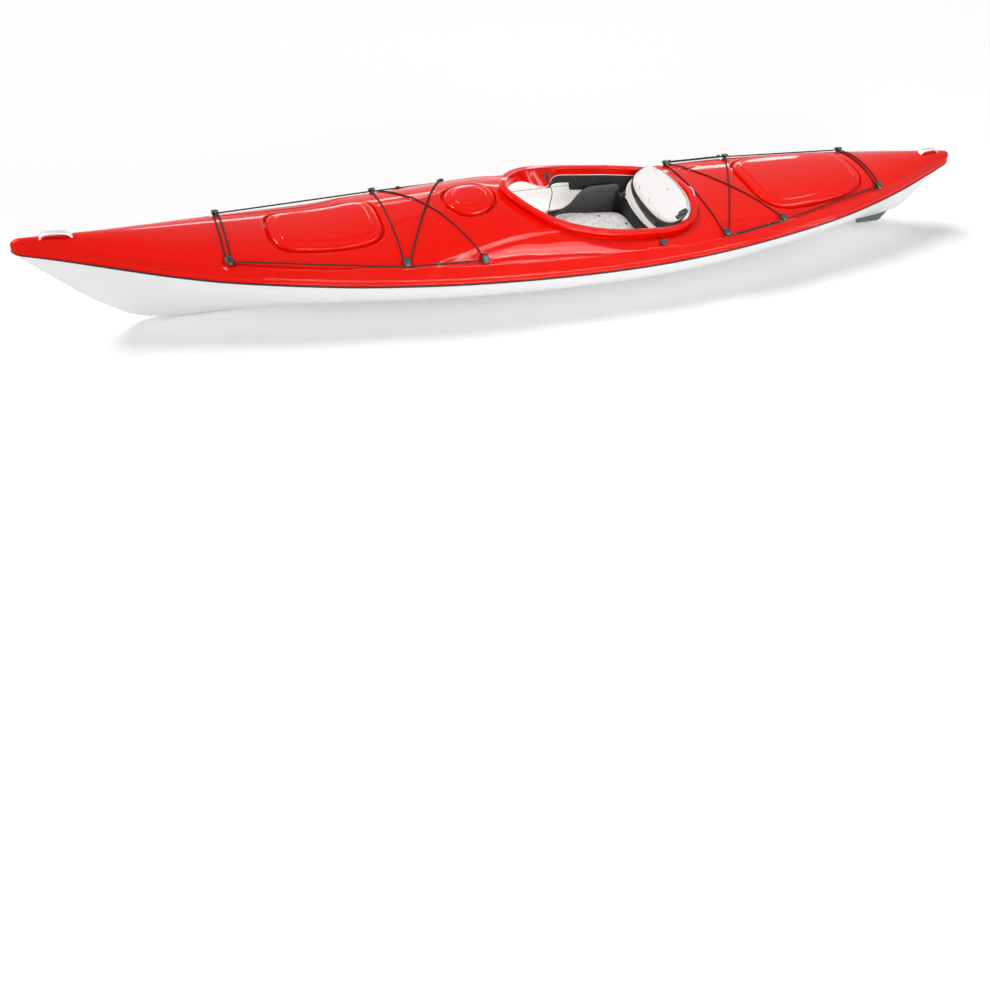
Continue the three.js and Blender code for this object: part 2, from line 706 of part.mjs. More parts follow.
// Stretched line between two points: straight from above, and over the deck as a taut string lies
function tautLine(start, end, crossing) {
  const steps = Math.max(4, Math.round(start.distanceTo(end) / lineStep));
  const raised = crossing && start.distanceTo(crossing) / start.distanceTo(end);
  const spots = [];
  for (let i = 0; i <= steps; i++) spots.push(i / steps);
  if (crossing) spots.push(raised);
  spots.sort((a, b) => a - b);
  const heights = spots.map((t) => {
    const [x, y] = [start.x + (end.x - start.x) * t, start.y + (end.y - start.y) * t];
    if (t === 0) return start.z;
    if (t === 1) return end.z;
    return restHeight(x, y) + (t === raised ? 2 * lineRadius + 2 * sideGap : 0);
  });
  const kept = [0];
  while (kept[kept.length - 1] < spots.length - 1) {
    const here = kept[kept.length - 1];
    let best = here + 1;
    for (let i = here + 2; i < spots.length; i++) {
      const slope = (heights[i] - heights[here]) / (spots[i] - spots[here]);
      if (slope >= (heights[best] - heights[here]) / (spots[best] - spots[here])) best = i;
    }
    kept.push(best);
  }
  return thinned(kept.map((i) => new THREE.Vector3(start.x + (end.x - start.x) * spots[i],
    start.y + (end.y - start.y) * spots[i], heights[i]))).slice(1, -1);
}

// Points of a run without those that stay within the line's slack of a straight stretch
function thinned(points) {
  if (points.length < 3) return points;
  const chord = new THREE.Line3(points[0], points.at(-1));
  const off = points.map((point) => point.distanceTo(chord.closestPointToPoint(point, true, new THREE.Vector3())));
  const worst = off.indexOf(Math.max(...off));
  if (off[worst] < lineSlack) return [points[0], points.at(-1)];
  return [...thinned(points.slice(0, worst + 1)), ...thinned(points.slice(worst)).slice(1)];
}

// Round line through points, open with flat ends or closed on itself
function tube(points, radius, sides, closedRun = false) {
  const count = points.length;
  const direction = (i) => {
    const before = closedRun ? points[(i + count - 1) % count] : points[Math.max(0, i - 1)];
    const after = closedRun ? points[(i + 1) % count] : points[Math.min(count - 1, i + 1)];
    const inward = points[i].clone().sub(before).normalize();
    const outward = after.clone().sub(points[i]).normalize();
    return inward.add(outward).normalize();
  };
  let side = new THREE.Vector3(0, 0, 1).cross(direction(0));
  if (side.length() < 0.1) side = new THREE.Vector3(1, 0, 0);
  const rings = points.map((point, i) => {
    const forward = direction(i);
    side = side.addScaledVector(forward, -side.dot(forward)).normalize();
    const up = forward.clone().cross(side);
    return [...Array(sides).keys()].map((k) => {
      const angle = k / sides * 2 * Math.PI;
      const at = point.clone().addScaledVector(side, Math.cos(angle) * radius);
      return at.addScaledVector(up, Math.sin(angle) * radius).toArray();
    });
  });
  return loft(rings, closedRun);
}

// Closed line round a port and a starboard post
function crossLine(place) {
  const [port, starboard] = [fittings[`${place}_port`], fittings[`${place}_starboard`]];
  const portWrap = wrapPost(port, 0, -180);
  const starboardWrap = wrapPost(starboard, 180, 0);
  return tube([
    ...portWrap, ...tautLine(portWrap.at(-1), starboardWrap[0]),
    ...starboardWrap, ...tautLine(starboardWrap.at(-1), portWrap[0]),
  ], lineRadius, lineSides, true);
}

// Deck net line: aft port post, fore starboard post, fore port post, aft starboard post
function netLine(fore, aft) {
  const [aftPort, forePort] = [fittings[`${aft}_port`], fittings[`${fore}_port`]];
  const [aftStarboard, foreStarboard] = [fittings[`${aft}_starboard`], fittings[`${fore}_starboard`]];
  const heading = Math.atan2(foreStarboard.origin.y - aftPort.origin.y,
    foreStarboard.origin.x - aftPort.origin.x) * 180 / Math.PI;
  const start = besidePost(aftPort, heading, wrapRadius);
  const end = besidePost(aftStarboard, -heading, wrapRadius);
  const firstWrap = wrapPost(foreStarboard, heading - 90, 180);
  const secondWrap = wrapPost(forePort, -180, 90 - heading);
  const crossing = new THREE.Vector3((secondWrap.at(-1).x + end.x) / 2, 0, 0);
  const share = -secondWrap.at(-1).y / (end.y - secondWrap.at(-1).y);
  crossing.copy(secondWrap.at(-1)).lerp(end, share);
  return tube([
    start, ...tautLine(start, firstWrap[0]), ...firstWrap,
    ...tautLine(firstWrap.at(-1), secondWrap[0]), ...secondWrap,
    ...tautLine(secondWrap.at(-1), end, crossing), end,
  ], lineRadius, lineSides);
}

// Line along one side of the deck through three fittings; outer radii pass outside the lines on a post
function sideLine(places, sideName, side) {
  const [first, second, third] = places.map((place) => fittings[`${place[0]}_${sideName}`]);
  const stops = [first, second, third].map((fitting, i) => besidePost(fitting, side * places[i][1],
    wrapRadius + places[i][2]));
  const route = [stops[0]];
  for (let i = 0; i < 2; i++) route.push(...tautLine(stops[i], stops[i + 1]), stops[i + 1]);
  return tube(route, lineRadius, lineSides);
}

const outside = 2 * lineRadius + sideGap;
const turns = { behind: 8, beside: 90, ahead: 172 };
const endGap = lineRadius + sideGap;
add('bow_cross_line', crossLine('toggle'), 'lineBlack');
add('stern_cross_line', crossLine('tail'), 'lineBlack');
add('bow_net_line', netLine('fore', 'mid'), 'lineBlack');
add('stern_net_line', netLine('rear', 'aft'), 'lineBlack');
for (const [sideName, side] of [['port', -1], ['starboard', 1]]) {
  add(`bow_side_line_${sideName}`, sideLine([['toggle', turns.behind, endGap], ['fore', turns.beside, outside],
    ['mid', turns.ahead, 0]], sideName, side), 'lineBlack');
  add(`stern_side_line_${sideName}`, sideLine([['rear', turns.beside, outside], ['aft', turns.beside, 0],
    ['tail', turns.ahead, endGap]], sideName, side), 'lineBlack');
}

// Seam strip: T section pressed into the joint of the two shells, all the way round
function buildStrip() {
  const port = stations.map((x) => [x, -halfBeam(x)]);
  const loop = outlineWith([...port, ...stations.toReversed().map((x) => [x, halfBeam(x)])]);
  const rings = loop.map((p) => {
    const section = [
      [-shellWall, -stripWeb / 2], [sideGap, -stripWeb / 2], [sideGap, -stripHeight / 2],
      [sideGap + stripThick, -stripHeight / 2], [sideGap + stripThick, stripHeight / 2],
      [sideGap, stripHeight / 2], [sideGap, stripWeb / 2], [-shellWall, stripWeb / 2],
    ];
    return section.map(([r, h]) => [p.x + p.nx * r, p.y + p.ny * r, seamLine(p.x + p.nx * r) + h]);
  });
  return loft(rings, true);
}
add('seam_strip', buildStrip(), 'trimBlack');

// Grab handles: arched bars on two feet, with room for fingers below
function buildHandle(middle) {
  const half = handleLength / 2;
  const inner = half - handleFoot;
  const under = handleHeight - handleThick;
  const shape = new THREE.Shape();
  shape.moveTo(-half, -handleThick);
  shape.lineTo(-half, handleThick / 2);
  shape.quadraticCurveTo(-half + handleFoot / 3, handleHeight - handleThick / 4, -inner, handleHeight);
  shape.lineTo(inner, handleHeight);
  shape.quadraticCurveTo(half - handleFoot / 3, handleHeight - handleThick / 4, half, handleThick / 2);
  shape.lineTo(half, -handleThick);
  shape.lineTo(inner, -handleThick);
  shape.lineTo(inner, under - handleThick / 2);
  shape.lineTo(inner - handleThick / 2, under);
  shape.lineTo(-inner + handleThick / 2, under);
  shape.lineTo(-inner, under - handleThick / 2);
  shape.lineTo(-inner, -handleThick);
  const bevel = handleThick / 4;
  const geometry = new THREE.ExtrudeGeometry(shape, { depth: handleWidth - 2 * bevel, bevelEnabled: true,
    bevelThickness: bevel, bevelSize: bevel / 2, bevelOffset: -bevel / 2, bevelSegments: 1, curveSegments: 5 });
  const place = new THREE.Matrix4().makeRotationX(Math.PI / 2);
  place.setPosition(middle, handleWidth / 2 - bevel, deckTop(middle, 0));
  return onDeck(solidFromGeometry(geometry, place));
}
add('bow_handle', buildHandle(bowHandleMiddle), 'handleSilver');
add('stern_handle', buildHandle(sternHandleMiddle), 'handleSilver');

// Day pod: a cup that hangs from the underside of the day hatch tray
function buildPod() {
  const hang = -moatDepth - trayWall - seatGap;
  const inner = -upstandInset - upstandThick;
  const collar = deckRing(dayHatch, () => [
    [moatWidth - seatGap, hang], [inner, hang], [inner, hang - 2 * moatWidth],
    [inner + trayWall, hang - 2 * moatWidth], [inner + trayWall, hang - trayWall],
    [moatWidth - seatGap, hang - trayWall],
  ]);
  const radius = dayHatchRadius + inner + trayWall;
  const foot = deckTop(dayHatchMiddle, 0) - podDepth;
  const brim = deckTop(dayHatchMiddle, radius) + hang - moatWidth;
  const place = new THREE.Matrix4().makeRotationX(Math.PI / 2).setPosition(dayHatchMiddle, 0, 0);
  place.multiply(new THREE.Matrix4().makeRotationY(Math.PI / dayHatchPoints));
  const cup = lathe([[0, foot], [radius - moatWidth, foot], [radius, foot + moatWidth], [radius, brim],
    [radius - trayWall, brim], [radius - trayWall, foot + moatWidth], [0, foot + trayWall]], dayHatchPoints, place);
  return collar.add(cup);
}
add('day_pod', buildPod(), 'trimBlack');

// Bulkheads fill the inside of the hull and the deck
function bulkhead(place) {
  return box(place, place + bulkheadThick, -hullBeam, hullBeam, 0, 2 * bowHeight).intersect(insideRoom);
}
// Skeg cable: from the track down through the deck, along the port side and down into the skeg's box
const cableStart = knobPlace + trackTail - 2 * postRadius;
const cableRoute = [
  [cableStart, 0, sideGap], [cableStart + sideGap, cableBend / 4, 1.6 * cableBend],
  [cableStart + 1.5 * cableBend, 0.75 * cableBend, 2.9 * cableBend],
  [cableStart + 6 * cableBend, 1.4 * cableBend, 3.9 * cableBend],
  [sternBulkheadPlace, 1.6 * cableBend, 4.4 * cableBend],
  [sternHatchMiddle - sternHatchHalfLength, 1.6 * cableBend, 4.4 * cableBend],
  [sternHatchMiddle, 2.1 * cableBend, 3.2 * cableBend],
  [sternHatchMiddle + 0.7 * sternHatchHalfLength, 3.2 * cableBend, 2.9 * cableBend],
  [sternHatchMiddle + sternHatchHalfLength + 2 * cableBend, 6 * cableBend, 2.5 * cableBend],
];
function cablePath() {
  const points = cableRoute.map(([x, inward, down]) => {
    const edge = -(halfBeam(x) - fittingInset);
    return new THREE.Vector3(x, edge + inward, deckTop(x, edge) - down);
  });
  const dropX = skegBoxFront + 2 * skegBoxWall;
  points.push(new THREE.Vector3(dropX - 2 * cableBend, -cableBend / 2, skegBoxTop + 1.5 * cableBend));
  points.push(new THREE.Vector3(dropX, 0, skegBoxTop + cableBend));
  points.push(new THREE.Vector3(dropX, 0, skegBoxTop + skegCableRadius));
  return points;
}
const cableCurve = new THREE.CatmullRomCurve3(cablePath(), false, 'centripetal');
const cableTube = tube(cableCurve.getSpacedPoints(cableSteps), skegCableRadius, lineSides);
const cableSleeve = tube(cableCurve.getSpacedPoints(cableSteps), skegCableRadius + sideGap, lineSides);
add('bow_bulkhead', bulkhead(bowBulkheadPlace), 'hullWhite');
add('stern_bulkhead', bulkhead(sternBulkheadPlace).subtract(cableSleeve), 'hullWhite');

// Skeg: blade on a pin in a box over a slot in the keel
const tilt = new THREE.Matrix4().makeRotationX(Math.PI / 2);
function acrossCylinder(x, z, radius, y0, y1, sides = 12) {
  const geometry = new THREE.CylinderGeometry(radius, radius, y1 - y0, sides);
  return solidFromGeometry(geometry, new THREE.Matrix4().makeTranslation(x, (y0 + y1) / 2, z));
}

function plate(shape, thick, y) {
  const geometry = new THREE.ExtrudeGeometry(shape, { depth: thick, bevelEnabled: false, curveSegments: 6 });
  return solidFromGeometry(geometry, tilt.clone().setPosition(0, y + thick / 2, 0));
}

function buildBlade() {
  const hub = 4 * skegPinRadius;
  const shape = new THREE.Shape();
  shape.moveTo(skegPivotX, skegPivotZ + hub);
  shape.absarc(skegPivotX, skegPivotZ, hub, Math.PI / 2, Math.PI * 1.5, false);
  shape.lineTo(skegFront - 1.2 * hub, skegPivotZ - 2.1 * hub);
  shape.lineTo(skegFront - hub / 3, skegGround + hub / 2);
  shape.quadraticCurveTo(skegFront, skegGround + skegThick / 3, skegFront + hub, skegGround);
  shape.lineTo(skegBack - hub / 2, skegGround);
  shape.quadraticCurveTo(skegBack, skegGround, skegBack + hub / 3, skegGround + hub / 2);
  shape.lineTo(skegBack + skegRake, skegPivotZ - 1.9 * hub);
  shape.lineTo(skegBack + skegRake - hub / 2, skegPivotZ - 1.3 * hub);
  const hole = acrossCylinder(skegPivotX, skegPivotZ, skegPinRadius + seatGap, -hullBeam, hullBeam);
  return plate(shape, skegThick, 0).subtract(hole);
}

const slotHalf = skegSlotWidth / 2;
const slotFront = skegPivotX + 2 * skegBoxWall + 5 * skegPinRadius;
function buildSkegBox() {
  const outer = box(skegBoxFront, skegBoxBack, -slotHalf - skegBoxWall, slotHalf + skegBoxWall, 0, skegBoxTop);
  const room = box(skegBoxFront + skegBoxWall, skegBoxBack - skegBoxWall, -slotHalf, slotHalf, -overrun,
    skegBoxTop - skegBoxWall);
  const hole = acrossCylinder(skegPivotX, skegPivotZ, skegPinRadius + seatGap, -hullBeam, hullBeam);
  return outer.subtract(room).subtract(hole).intersect(hullRoom);
}

// Finger recess ahead of the slot: two tapered notches that meet at a waist
function recessCut() {
  const ends = 2.2 * slotHalf;
  const length = 3 * ends;
  const outline = [[slotFront + seatGap, -slotHalf], [slotFront + seatGap, slotHalf],
    [slotFront - length / 2, slotHalf / 2], [slotFront - length, ends], [slotFront - length, -ends],
    [slotFront - length / 2, -slotHalf / 2]];
  return prism(outline, 0, keelLine(slotFront - length) + shellWall);
}

const pinReach = slotHalf + 2 * skegBoxWall;
add('skeg_box', buildSkegBox(), 'trimBlack');
add('skeg_pivot_pin', acrossCylinder(skegPivotX, skegPivotZ, skegPinRadius, -pinReach, pinReach), 'steel');
add('skeg_blade', buildBlade(), 'skegGreen');
add('skeg_cable', cableTube, 'trimBlack');

// Skeg control: a knob that slides on a track beside the cockpit
const trackFrame = deckFrame(knobPlace, -(halfBeam(knobPlace) - fittingInset));
const trackReach = [knobPlace - knobTravel - knobRadius, knobPlace + trackTail];
function trackPlace(local) {
  const origin = new THREE.Vector3().setFromMatrixPosition(trackFrame.matrix);
  const turn = new THREE.Matrix4().makeBasis(trackFrame.along, trackFrame.across, trackFrame.normal);
  return turn.setPosition(origin).multiply(new THREE.Matrix4().makeTranslation(...local));
}
function buildTrack() {
  const long = trackReach[1] - trackReach[0];
  const middle = (trackReach[0] + trackReach[1]) / 2 - knobPlace;
  const foot = 2 * trackThick;
  const slab = new THREE.BoxGeometry(long, trackWidth, trackThick + foot);
  const groove = new THREE.BoxGeometry(long - 2 * postRadius - 4 * trackThick, postRadius, trackThick);
  const body = solidFromGeometry(slab, trackPlace([middle, 0, (trackThick - foot) / 2]));
  const cut = solidFromGeometry(groove, trackPlace([middle - postRadius, 0, trackThick]));
  return onDeck(body.subtract(cut)).subtract(cableSleeve);
}
function buildKnob() {
  const place = trackPlace([0, 0, trackThick + seatGap]).multiply(new THREE.Matrix4().makeRotationX(Math.PI / 2));
  return lathe([[0, -trackThick / 3], [postRadius / 3, -trackThick / 3], [postRadius / 3, 0],
    [knobRadius * 0.7, 0], [knobRadius * 0.72, knobHeight * 0.25], [knobRadius, knobHeight * 0.45],
    [knobRadius * 0.95, knobHeight * 0.8], [knobRadius * 0.6, knobHeight], [knobRadius * 0.4, knobHeight * 0.9],
    [0, knobHeight * 0.85]], 12, place);
}
add('skeg_slider_track', buildTrack(), 'trimBlack');
add('skeg_knob', buildKnob(), 'trimBlack');

// Seat pan: a moulded tray with raised wings, on two bearers that stand on the hull floor
const seatStations = [0, 0.12, 0.3, 0.5, 0.7, 0.82, 0.88, 1];
const wingStart = seatHalfWidth - 3 * seatWall;
function panHeight(share, y) {
  const front = frontRise * (1 - share) ** 2;
  const wing = Math.max(0, (Math.abs(y) - wingStart) / (seatHalfWidth - wingStart));
  const tall = share > 0.8 ? backPivotZ + 4 * backPinRadius - seatBase : seatWingHeight * (0.2 + 0.4 * share);
  return seatBase + front + wing * tall;
}
function buildPan() {
  const half = [seatHalfWidth, seatHalfWidth - seatWall / 2, (seatHalfWidth + wingStart) / 2, wingStart,
    wingStart / 2];
  const acrossPlaces = [...half.map((y) => -y), 0, ...half.toReversed()];
  const rings = seatStations.map((share) => {
    const x = seatFront + share * (seatBack - seatFront);
    const upper = acrossPlaces.map((y) => [x, y, panHeight(share, y)]);
    const lower = acrossPlaces.map((y) => [x, y * (1 + seatWall / seatHalfWidth),
      panHeight(share, y) - (Math.abs(y) < seatHalfWidth ? seatWall : 0)]);
    return [...upper, ...lower.toReversed()];
  });
  const bearers = [-1, 1].map((side) => box(seatFront + bearerWidth, seatBack - bearerWidth,
    side * bearerOffset - bearerWidth / 2, side * bearerOffset + bearerWidth / 2, 0, seatBase - seatWall / 2));
  const pinHole = acrossCylinder(backPivotX, backPivotZ, backPinRadius + seatGap, -hullBeam, hullBeam);
  return loft(rings).add(bearers[0]).add(bearers[1]).intersect(insideRoom).subtract(pinHole);
}
add('seat_pan', buildPan(), 'panGrey');

// Quilted pad: a pillow on a triangular grid whose six-sided cells rise between sewn corners
function quiltedPad(halfLong, halfWide, thick, cell, rise, place, roundPower) {
  const rows = 2 * Math.round(halfLong / (cell * 0.866));
  const columns = 2 * Math.round(halfWide / cell);
  const spot = (i, j) => {
    const shift = i % 2 && j > 0 && j < columns ? 0.5 : 0;
    return [2 * i / rows - 1, 2 * Math.min(1, (j + shift) / columns) - 1];
  };
  const lay = (u, v, up) => {
    const x = halfLong * u * (1 - (1 - roundPower) * v ** 4);
    const y = halfWide * v * (1 - (1 - roundPower) * u ** 4);
    const edge = Math.max(0, 1 - Math.max(Math.abs(u), Math.abs(v)) ** 6);
    return place(x, y, up * edge * thick / 2);
  };
  const points = [];
  const isEdge = (i, j) => i === 0 || j === 0 || i === rows || j === columns;
  const index = { top: [], bottom: [] };
  for (let i = 0; i <= rows; i++) {
    index.top.push([]);
    index.bottom.push([]);
    for (let j = 0; j <= columns; j++) {
      const [u, v] = spot(i, j);
      const raised = (j + (i % 2 ? 2 : 0)) % 3 === 0 ? rise : 0;
      index.top[i].push(points.length);
      points.push(lay(u, v, isEdge(i, j) ? 0 : 1 + 2 * raised / thick));
      index.bottom[i].push(isEdge(i, j) ? index.top[i][j] : points.length);
      if (!isEdge(i, j)) points.push(lay(u, v, -1));
    }
  }
  const triangles = [];
  for (let i = 0; i < rows; i++) {
    for (let j = 0; j < columns; j++) {
      const corners = [[i, j], [i + 1, j], [i + 1, j + 1], [i, j + 1]];
      const split = i % 2 ? [[0, 1, 3], [1, 2, 3]] : [[0, 1, 2], [0, 2, 3]];
      for (const [a, b, c] of split) {
        const pick = (layer, k) => index[layer][corners[k][0]][corners[k][1]];
        triangles.push([pick('top', a), pick('top', b), pick('top', c)]);
        triangles.push([pick('bottom', a), pick('bottom', c), pick('bottom', b)]);
      }
    }
  }
  return solidOf(points, triangles);
}

const cushionHalfWide = wingStart - hipPadThick - 4 * seatGap;
const cushionMiddle = (seatFront + seatBack) / 2 - cushionMargin;
const cushionHalfLong = (seatBack - seatFront) / 2 - 2 * cushionMargin;
add('seat_cushion', quiltedPad(cushionHalfLong, cushionHalfWide, cushionThick, quiltCell, quiltRise, (x, y, z) => {
  const share = (cushionMiddle + x - seatFront) / (seatBack - seatFront);
  return [cushionMiddle + x, y, panHeight(share, 0) + cushionThick / 2 + 2 * seatGap + z];
}, 0.94), 'cushionWhite');

// Hip pads: foam panels between the cushion and the wings, tapering forward
function hipPad(side) {
  const back = backPivotX - 14 * backPinRadius;
  const shares = [[0, 0.02], [0.06, 0.16], [0.36, 0.52], [0.52, 0.9], [0.66, 1], [0.96, 0.95], [1, 0.84], [1, 0]];
  const front = seatFront + cushionMargin;
  const shape = new THREE.Shape(shares.map(([along, up]) => new THREE.Vector2(front + along * (back - front),
    seatBase + frontRise + seatGap + up * (hipPadHeight - seatBase - frontRise))));
  const bevel = hipPadThick / 6;
  const geometry = new THREE.ExtrudeGeometry(shape, { depth: hipPadThick - 2 * bevel, bevelEnabled: true,
    bevelThickness: bevel, bevelSize: bevel, bevelOffset: -bevel, bevelSegments: 1 });
  const middle = side * (wingStart - hipPadThick / 2 - seatGap);
  return solidFromGeometry(geometry, tilt.clone().setPosition(0, middle + hipPadThick / 2 - bevel, 0));
}
for (const [sideName, side] of [['port', -1], ['starboard', 1]]) {
  add(`hip_pad_${sideName}`, hipPad(side), 'foamBlack');
}

// Backrest: curved shell with lugs, hinged on two pins between the seat wings, and its pad
const backTurn = backAngle * Math.PI / 180;
const backPlace = (along, across, out) => [
  backPivotX + along * Math.cos(backTurn) - out * Math.sin(backTurn),
  across,
  backPivotZ + along * Math.sin(backTurn) + out * Math.cos(backTurn),
];
const backWrap = (y) => backBend * (y / backHalfWidth) ** 2;
function buildBackShell() {
  const low = 2 * backPinRadius;
  const rows = [0, 0.15, 0.6, 0.82, 0.94, 1];
  const widths = [0.92, 1, 1, 0.88, 0.7, 0.45];
  const columns = [-1, -0.8, -0.6, -0.4, -0.2, 0, 0.2, 0.4, 0.6, 0.8, 1];
  const rings = rows.map((share, i) => {
    const along = low + share * (backLength - low);
    const front = columns.map((c) => {
      const y = c * widths[i] * backHalfWidth;
      return backPlace(along, y, backWrap(y));
    });
    const back = columns.map((c) => {
      const y = c * widths[i] * backHalfWidth;
      return backPlace(along, y, backWrap(y) - backShellThick);
    });
    return [...front, ...back.toReversed()];
  });
  const pinHole = acrossCylinder(backPivotX, backPivotZ, backPinRadius + seatGap, -hullBeam, hullBeam);
  const lugs = [-1, 1].map((side) => {
    const out = side * (backHalfWidth - 5 * seatWall);
    const lug = new THREE.Shape();
    const reach = 3 * backPinRadius;
    lug.absarc(backPivotX, backPivotZ, 2 * backPinRadius, Math.PI * 0.7, Math.PI * 1.7, false);
    const corners = [backPlace(2 * reach, 0, backWrap(out) - 1.5), backPlace(2 * reach, 0, backWrap(out) + reach)];
    for (const [x, , z] of corners) lug.lineTo(x, z);
    return plate(lug, 3 * seatWall, out);
  });
  return loft(rings).add(lugs[0]).add(lugs[1]).subtract(pinHole);
}
function buildBackPad() {
  const long = (backLength - 2 * backPinRadius) / 2;
  const middle = backLength - long + seatGap;
  return quiltedPad(long, backHalfWidth - 2 * seatWall, backPadThick, 2 * quiltCell, 0, (x, y, z) => {
    const narrow = 1 - 0.34 * Math.max(0, x / long) ** 3 - 0.1 * Math.max(0, -x / long) ** 3;
    return backPlace(middle + x, y * narrow, backWrap(y * narrow) + backPadThick / 2 + 2 * seatGap + z);
  }, 0.86);
}
add('backrest_shell', buildBackShell(), 'panGrey');
add('backrest_pad', buildBackPad(), 'cushionWhite');
for (const [sideName, side] of [['port', -1], ['starboard', 1]]) {
  const [inner, outer] = [backHalfWidth - 8 * seatWall, seatHalfWidth + 2 * seatWall];
  const ends = side < 0 ? [-outer, -inner] : [inner, outer];
  add(`backrest_pin_${sideName}`, acrossCylinder(backPivotX, backPivotZ, backPinRadius, ...ends), 'steel');
}

// Footrests: rails on the hull sides with sliding pedals
function innerSide(x, z) {
  const half = hullSection(x, shellWall).slice(innerCurvePoints + 1);
  for (let j = 0; j < half.length - 1; j++) {
    if (half[j][2] <= z && half[j + 1][2] >= z) {
      return half[j][1] + (half[j + 1][1] - half[j][1]) * (z - half[j][2]) / (half[j + 1][2] - half[j][2]);
    }
  }
  return half.at(-1)[1];
}
const railEnds = [railFront, railBack].map((x) => [x, innerSide(x, railHeight - railTall / 2)]);
const railTurn = Math.atan2(railEnds[1][1] - railEnds[0][1], railEnds[1][0] - railEnds[0][0]);
function railBox(x0, x1, y0, y1, z0, z1, side) {
  const flat = box(x0 - railFront, x1 - railFront, y0, y1, z0, z1);
  const turned = flat.rotate([0, 0, railTurn * 180 / Math.PI]).translate([railEnds[0][0], railEnds[0][1], 0]);
  return side > 0 ? turned : turned.mirror([0, 1, 0]);
}
function buildRail(side) {
  const [low, high] = [railHeight - railTall / 2, railHeight + railTall / 2];
  const rail = railBox(railFront, railBack, -railDepth, 2 * railDepth, low, high, side);
  return rail.intersect(hullRoom);
}
function buildPedal(side) {
  const inner = -railDepth - sideGap;
  const carriage = railBox(pedalPlace - pedalThick, pedalPlace + 3 * pedalThick, inner - railDepth, inner,
    railHeight - railTall, railHeight + railTall, side);
  const face = railBox(pedalPlace, pedalPlace + pedalThick, inner - pedalWide, inner - railDepth / 2,
    railHeight - pedalTall * 0.2, railHeight + pedalTall * 0.8, side);
  const ribs = [0, 0.2, 0.4, 0.6].map((share) => railBox(pedalPlace + pedalThick / 2,
    pedalPlace + pedalThick * 1.4, inner - pedalWide * 0.9, inner - railDepth,
    railHeight + pedalTall * (share + 0.03), railHeight + pedalTall * (share + 0.09), side));
  return ribs.reduce((solid, rib) => solid.add(rib), carriage.add(face));
}
for (const [sideName, side] of [['port', -1], ['starboard', 1]]) {
  add(`foot_rail_${sideName}`, buildRail(side), 'trimBlack');
  add(`foot_pedal_${sideName}`, buildPedal(side), 'fittingGrey');
}

// Shells
const deckShell = deckOpenings.reduce((solid, hole) => solid.subtract(hole),
  deckSolid.subtract(deckInside(shellWall))).subtract(cableSleeve);
const slotCut = box(slotFront, skegBoxBack - skegBoxWall, -slotHalf, slotHalf, 0, skegBoxTop);
const coaming = buildCoaming().subtract(deckShell.translate([0, 0, seatGap]));
add('deck_shell', deckShell, 'deckRed');
add('cockpit_coaming', coaming, 'deckRed');
add('hull_shell', hullSolid.subtract(hullInside(shellWall)).subtract(slotCut).subtract(recessCut()), 'hullWhite');

// Seat lift: a cord from the seat's front corner over the starboard thigh brace to a cleat
const cleatSpot = rimWallLine.filter((p) => p.y > 0).reduce((best, p) => (
  Math.abs(p.x - cleatPlace) < Math.abs(best.x - cleatPlace) ? p : best));
function braceFrame() {
  const { inward, depth, top } = apronAt(cleatSpot);
  const down = new THREE.Vector3(-cleatSpot.nx * inward, -cleatSpot.ny * inward, rimWall - depth).normalize();
  const along = new THREE.Vector3(-cleatSpot.ny, cleatSpot.nx, 0);
  const out = along.clone().cross(down);
  if (out.z < 0) out.negate();
  const middle = new THREE.Vector3(cleatSpot.x - cleatSpot.nx * (rimWall + inward * cleatShare),
    cleatSpot.y - cleatSpot.ny * (rimWall + inward * cleatShare), top - rimWall - (depth - rimWall) * cleatShare);
  const side = out.clone().cross(down);
  return { middle, down, out, side, turn: new THREE.Matrix4().makeBasis(side, out, down) };
}
const brace = braceFrame();
function braceBox(long, wide, low, high, shift = 0) {
  const place = brace.turn.clone().setPosition(brace.middle.clone()
    .addScaledVector(brace.out, (low + high) / 2).addScaledVector(brace.side, shift));
  return solidFromGeometry(new THREE.BoxGeometry(long, high - low, wide), place);
}
function buildCleat() {
  const plateThick = cleatHeight / 4;
  const posts = [-1, 1].map((side) => braceBox(cleatLength / 5, cleatWidth * 0.7, plateThick / 2, cleatHeight,
    side * cleatLength / 3.5));
  const pieces = braceBox(cleatLength, cleatWidth, -cleatHeight, plateThick).add(posts[0]).add(posts[1])
    .subtract(coaming.translate(brace.out.clone().multiplyScalar(seatGap).toArray()))
    .subtract(coaming.translate([0, 0, -seatGap])).decompose();
  return pieces.reduce((most, piece) => (piece.volume() > most.volume() ? piece : most));
}
function liftCord() {
  const above = (share, lift) => brace.middle.clone().addScaledVector(brace.out, lift)
    .addScaledVector(brace.down, share);
  const edge = braceReach * (1 - cleatShare);
  const start = above(0, cleatHeight / 4 + seatGap + liftCordRadius);
  const over = above(edge + 3 * liftCordRadius, 2 * liftCordRadius + sideGap);
  const below = new THREE.Vector3(over.x + cleatLength / 2, over.y - 2 * liftCordRadius, over.z - cleatLength);
  const hold = new THREE.Vector3(seatFront + cushionMargin / 2, wingStart - 3 * liftCordRadius,
    panHeight(0, 0) + liftCordRadius + sideGap);
  const curve = new THREE.CatmullRomCurve3([start, above(edge * 0.6, cleatHeight / 4 + 2 * liftCordRadius), over,
    below, below.clone().lerp(hold, 0.5), hold.clone().setZ(hold.z + cleatLength), hold], false, 'centripetal');
  return tube(curve.getSpacedPoints(20), liftCordRadius, lineSides);
}
add('flange_cleat', buildCleat(), 'trimBlack');
add('seat_lift_cord', liftCord(), 'lineBlack');

export default kayak;
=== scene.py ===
from math import radians

import bmesh
import bpy
import numpy as np
from mathutils import Matrix


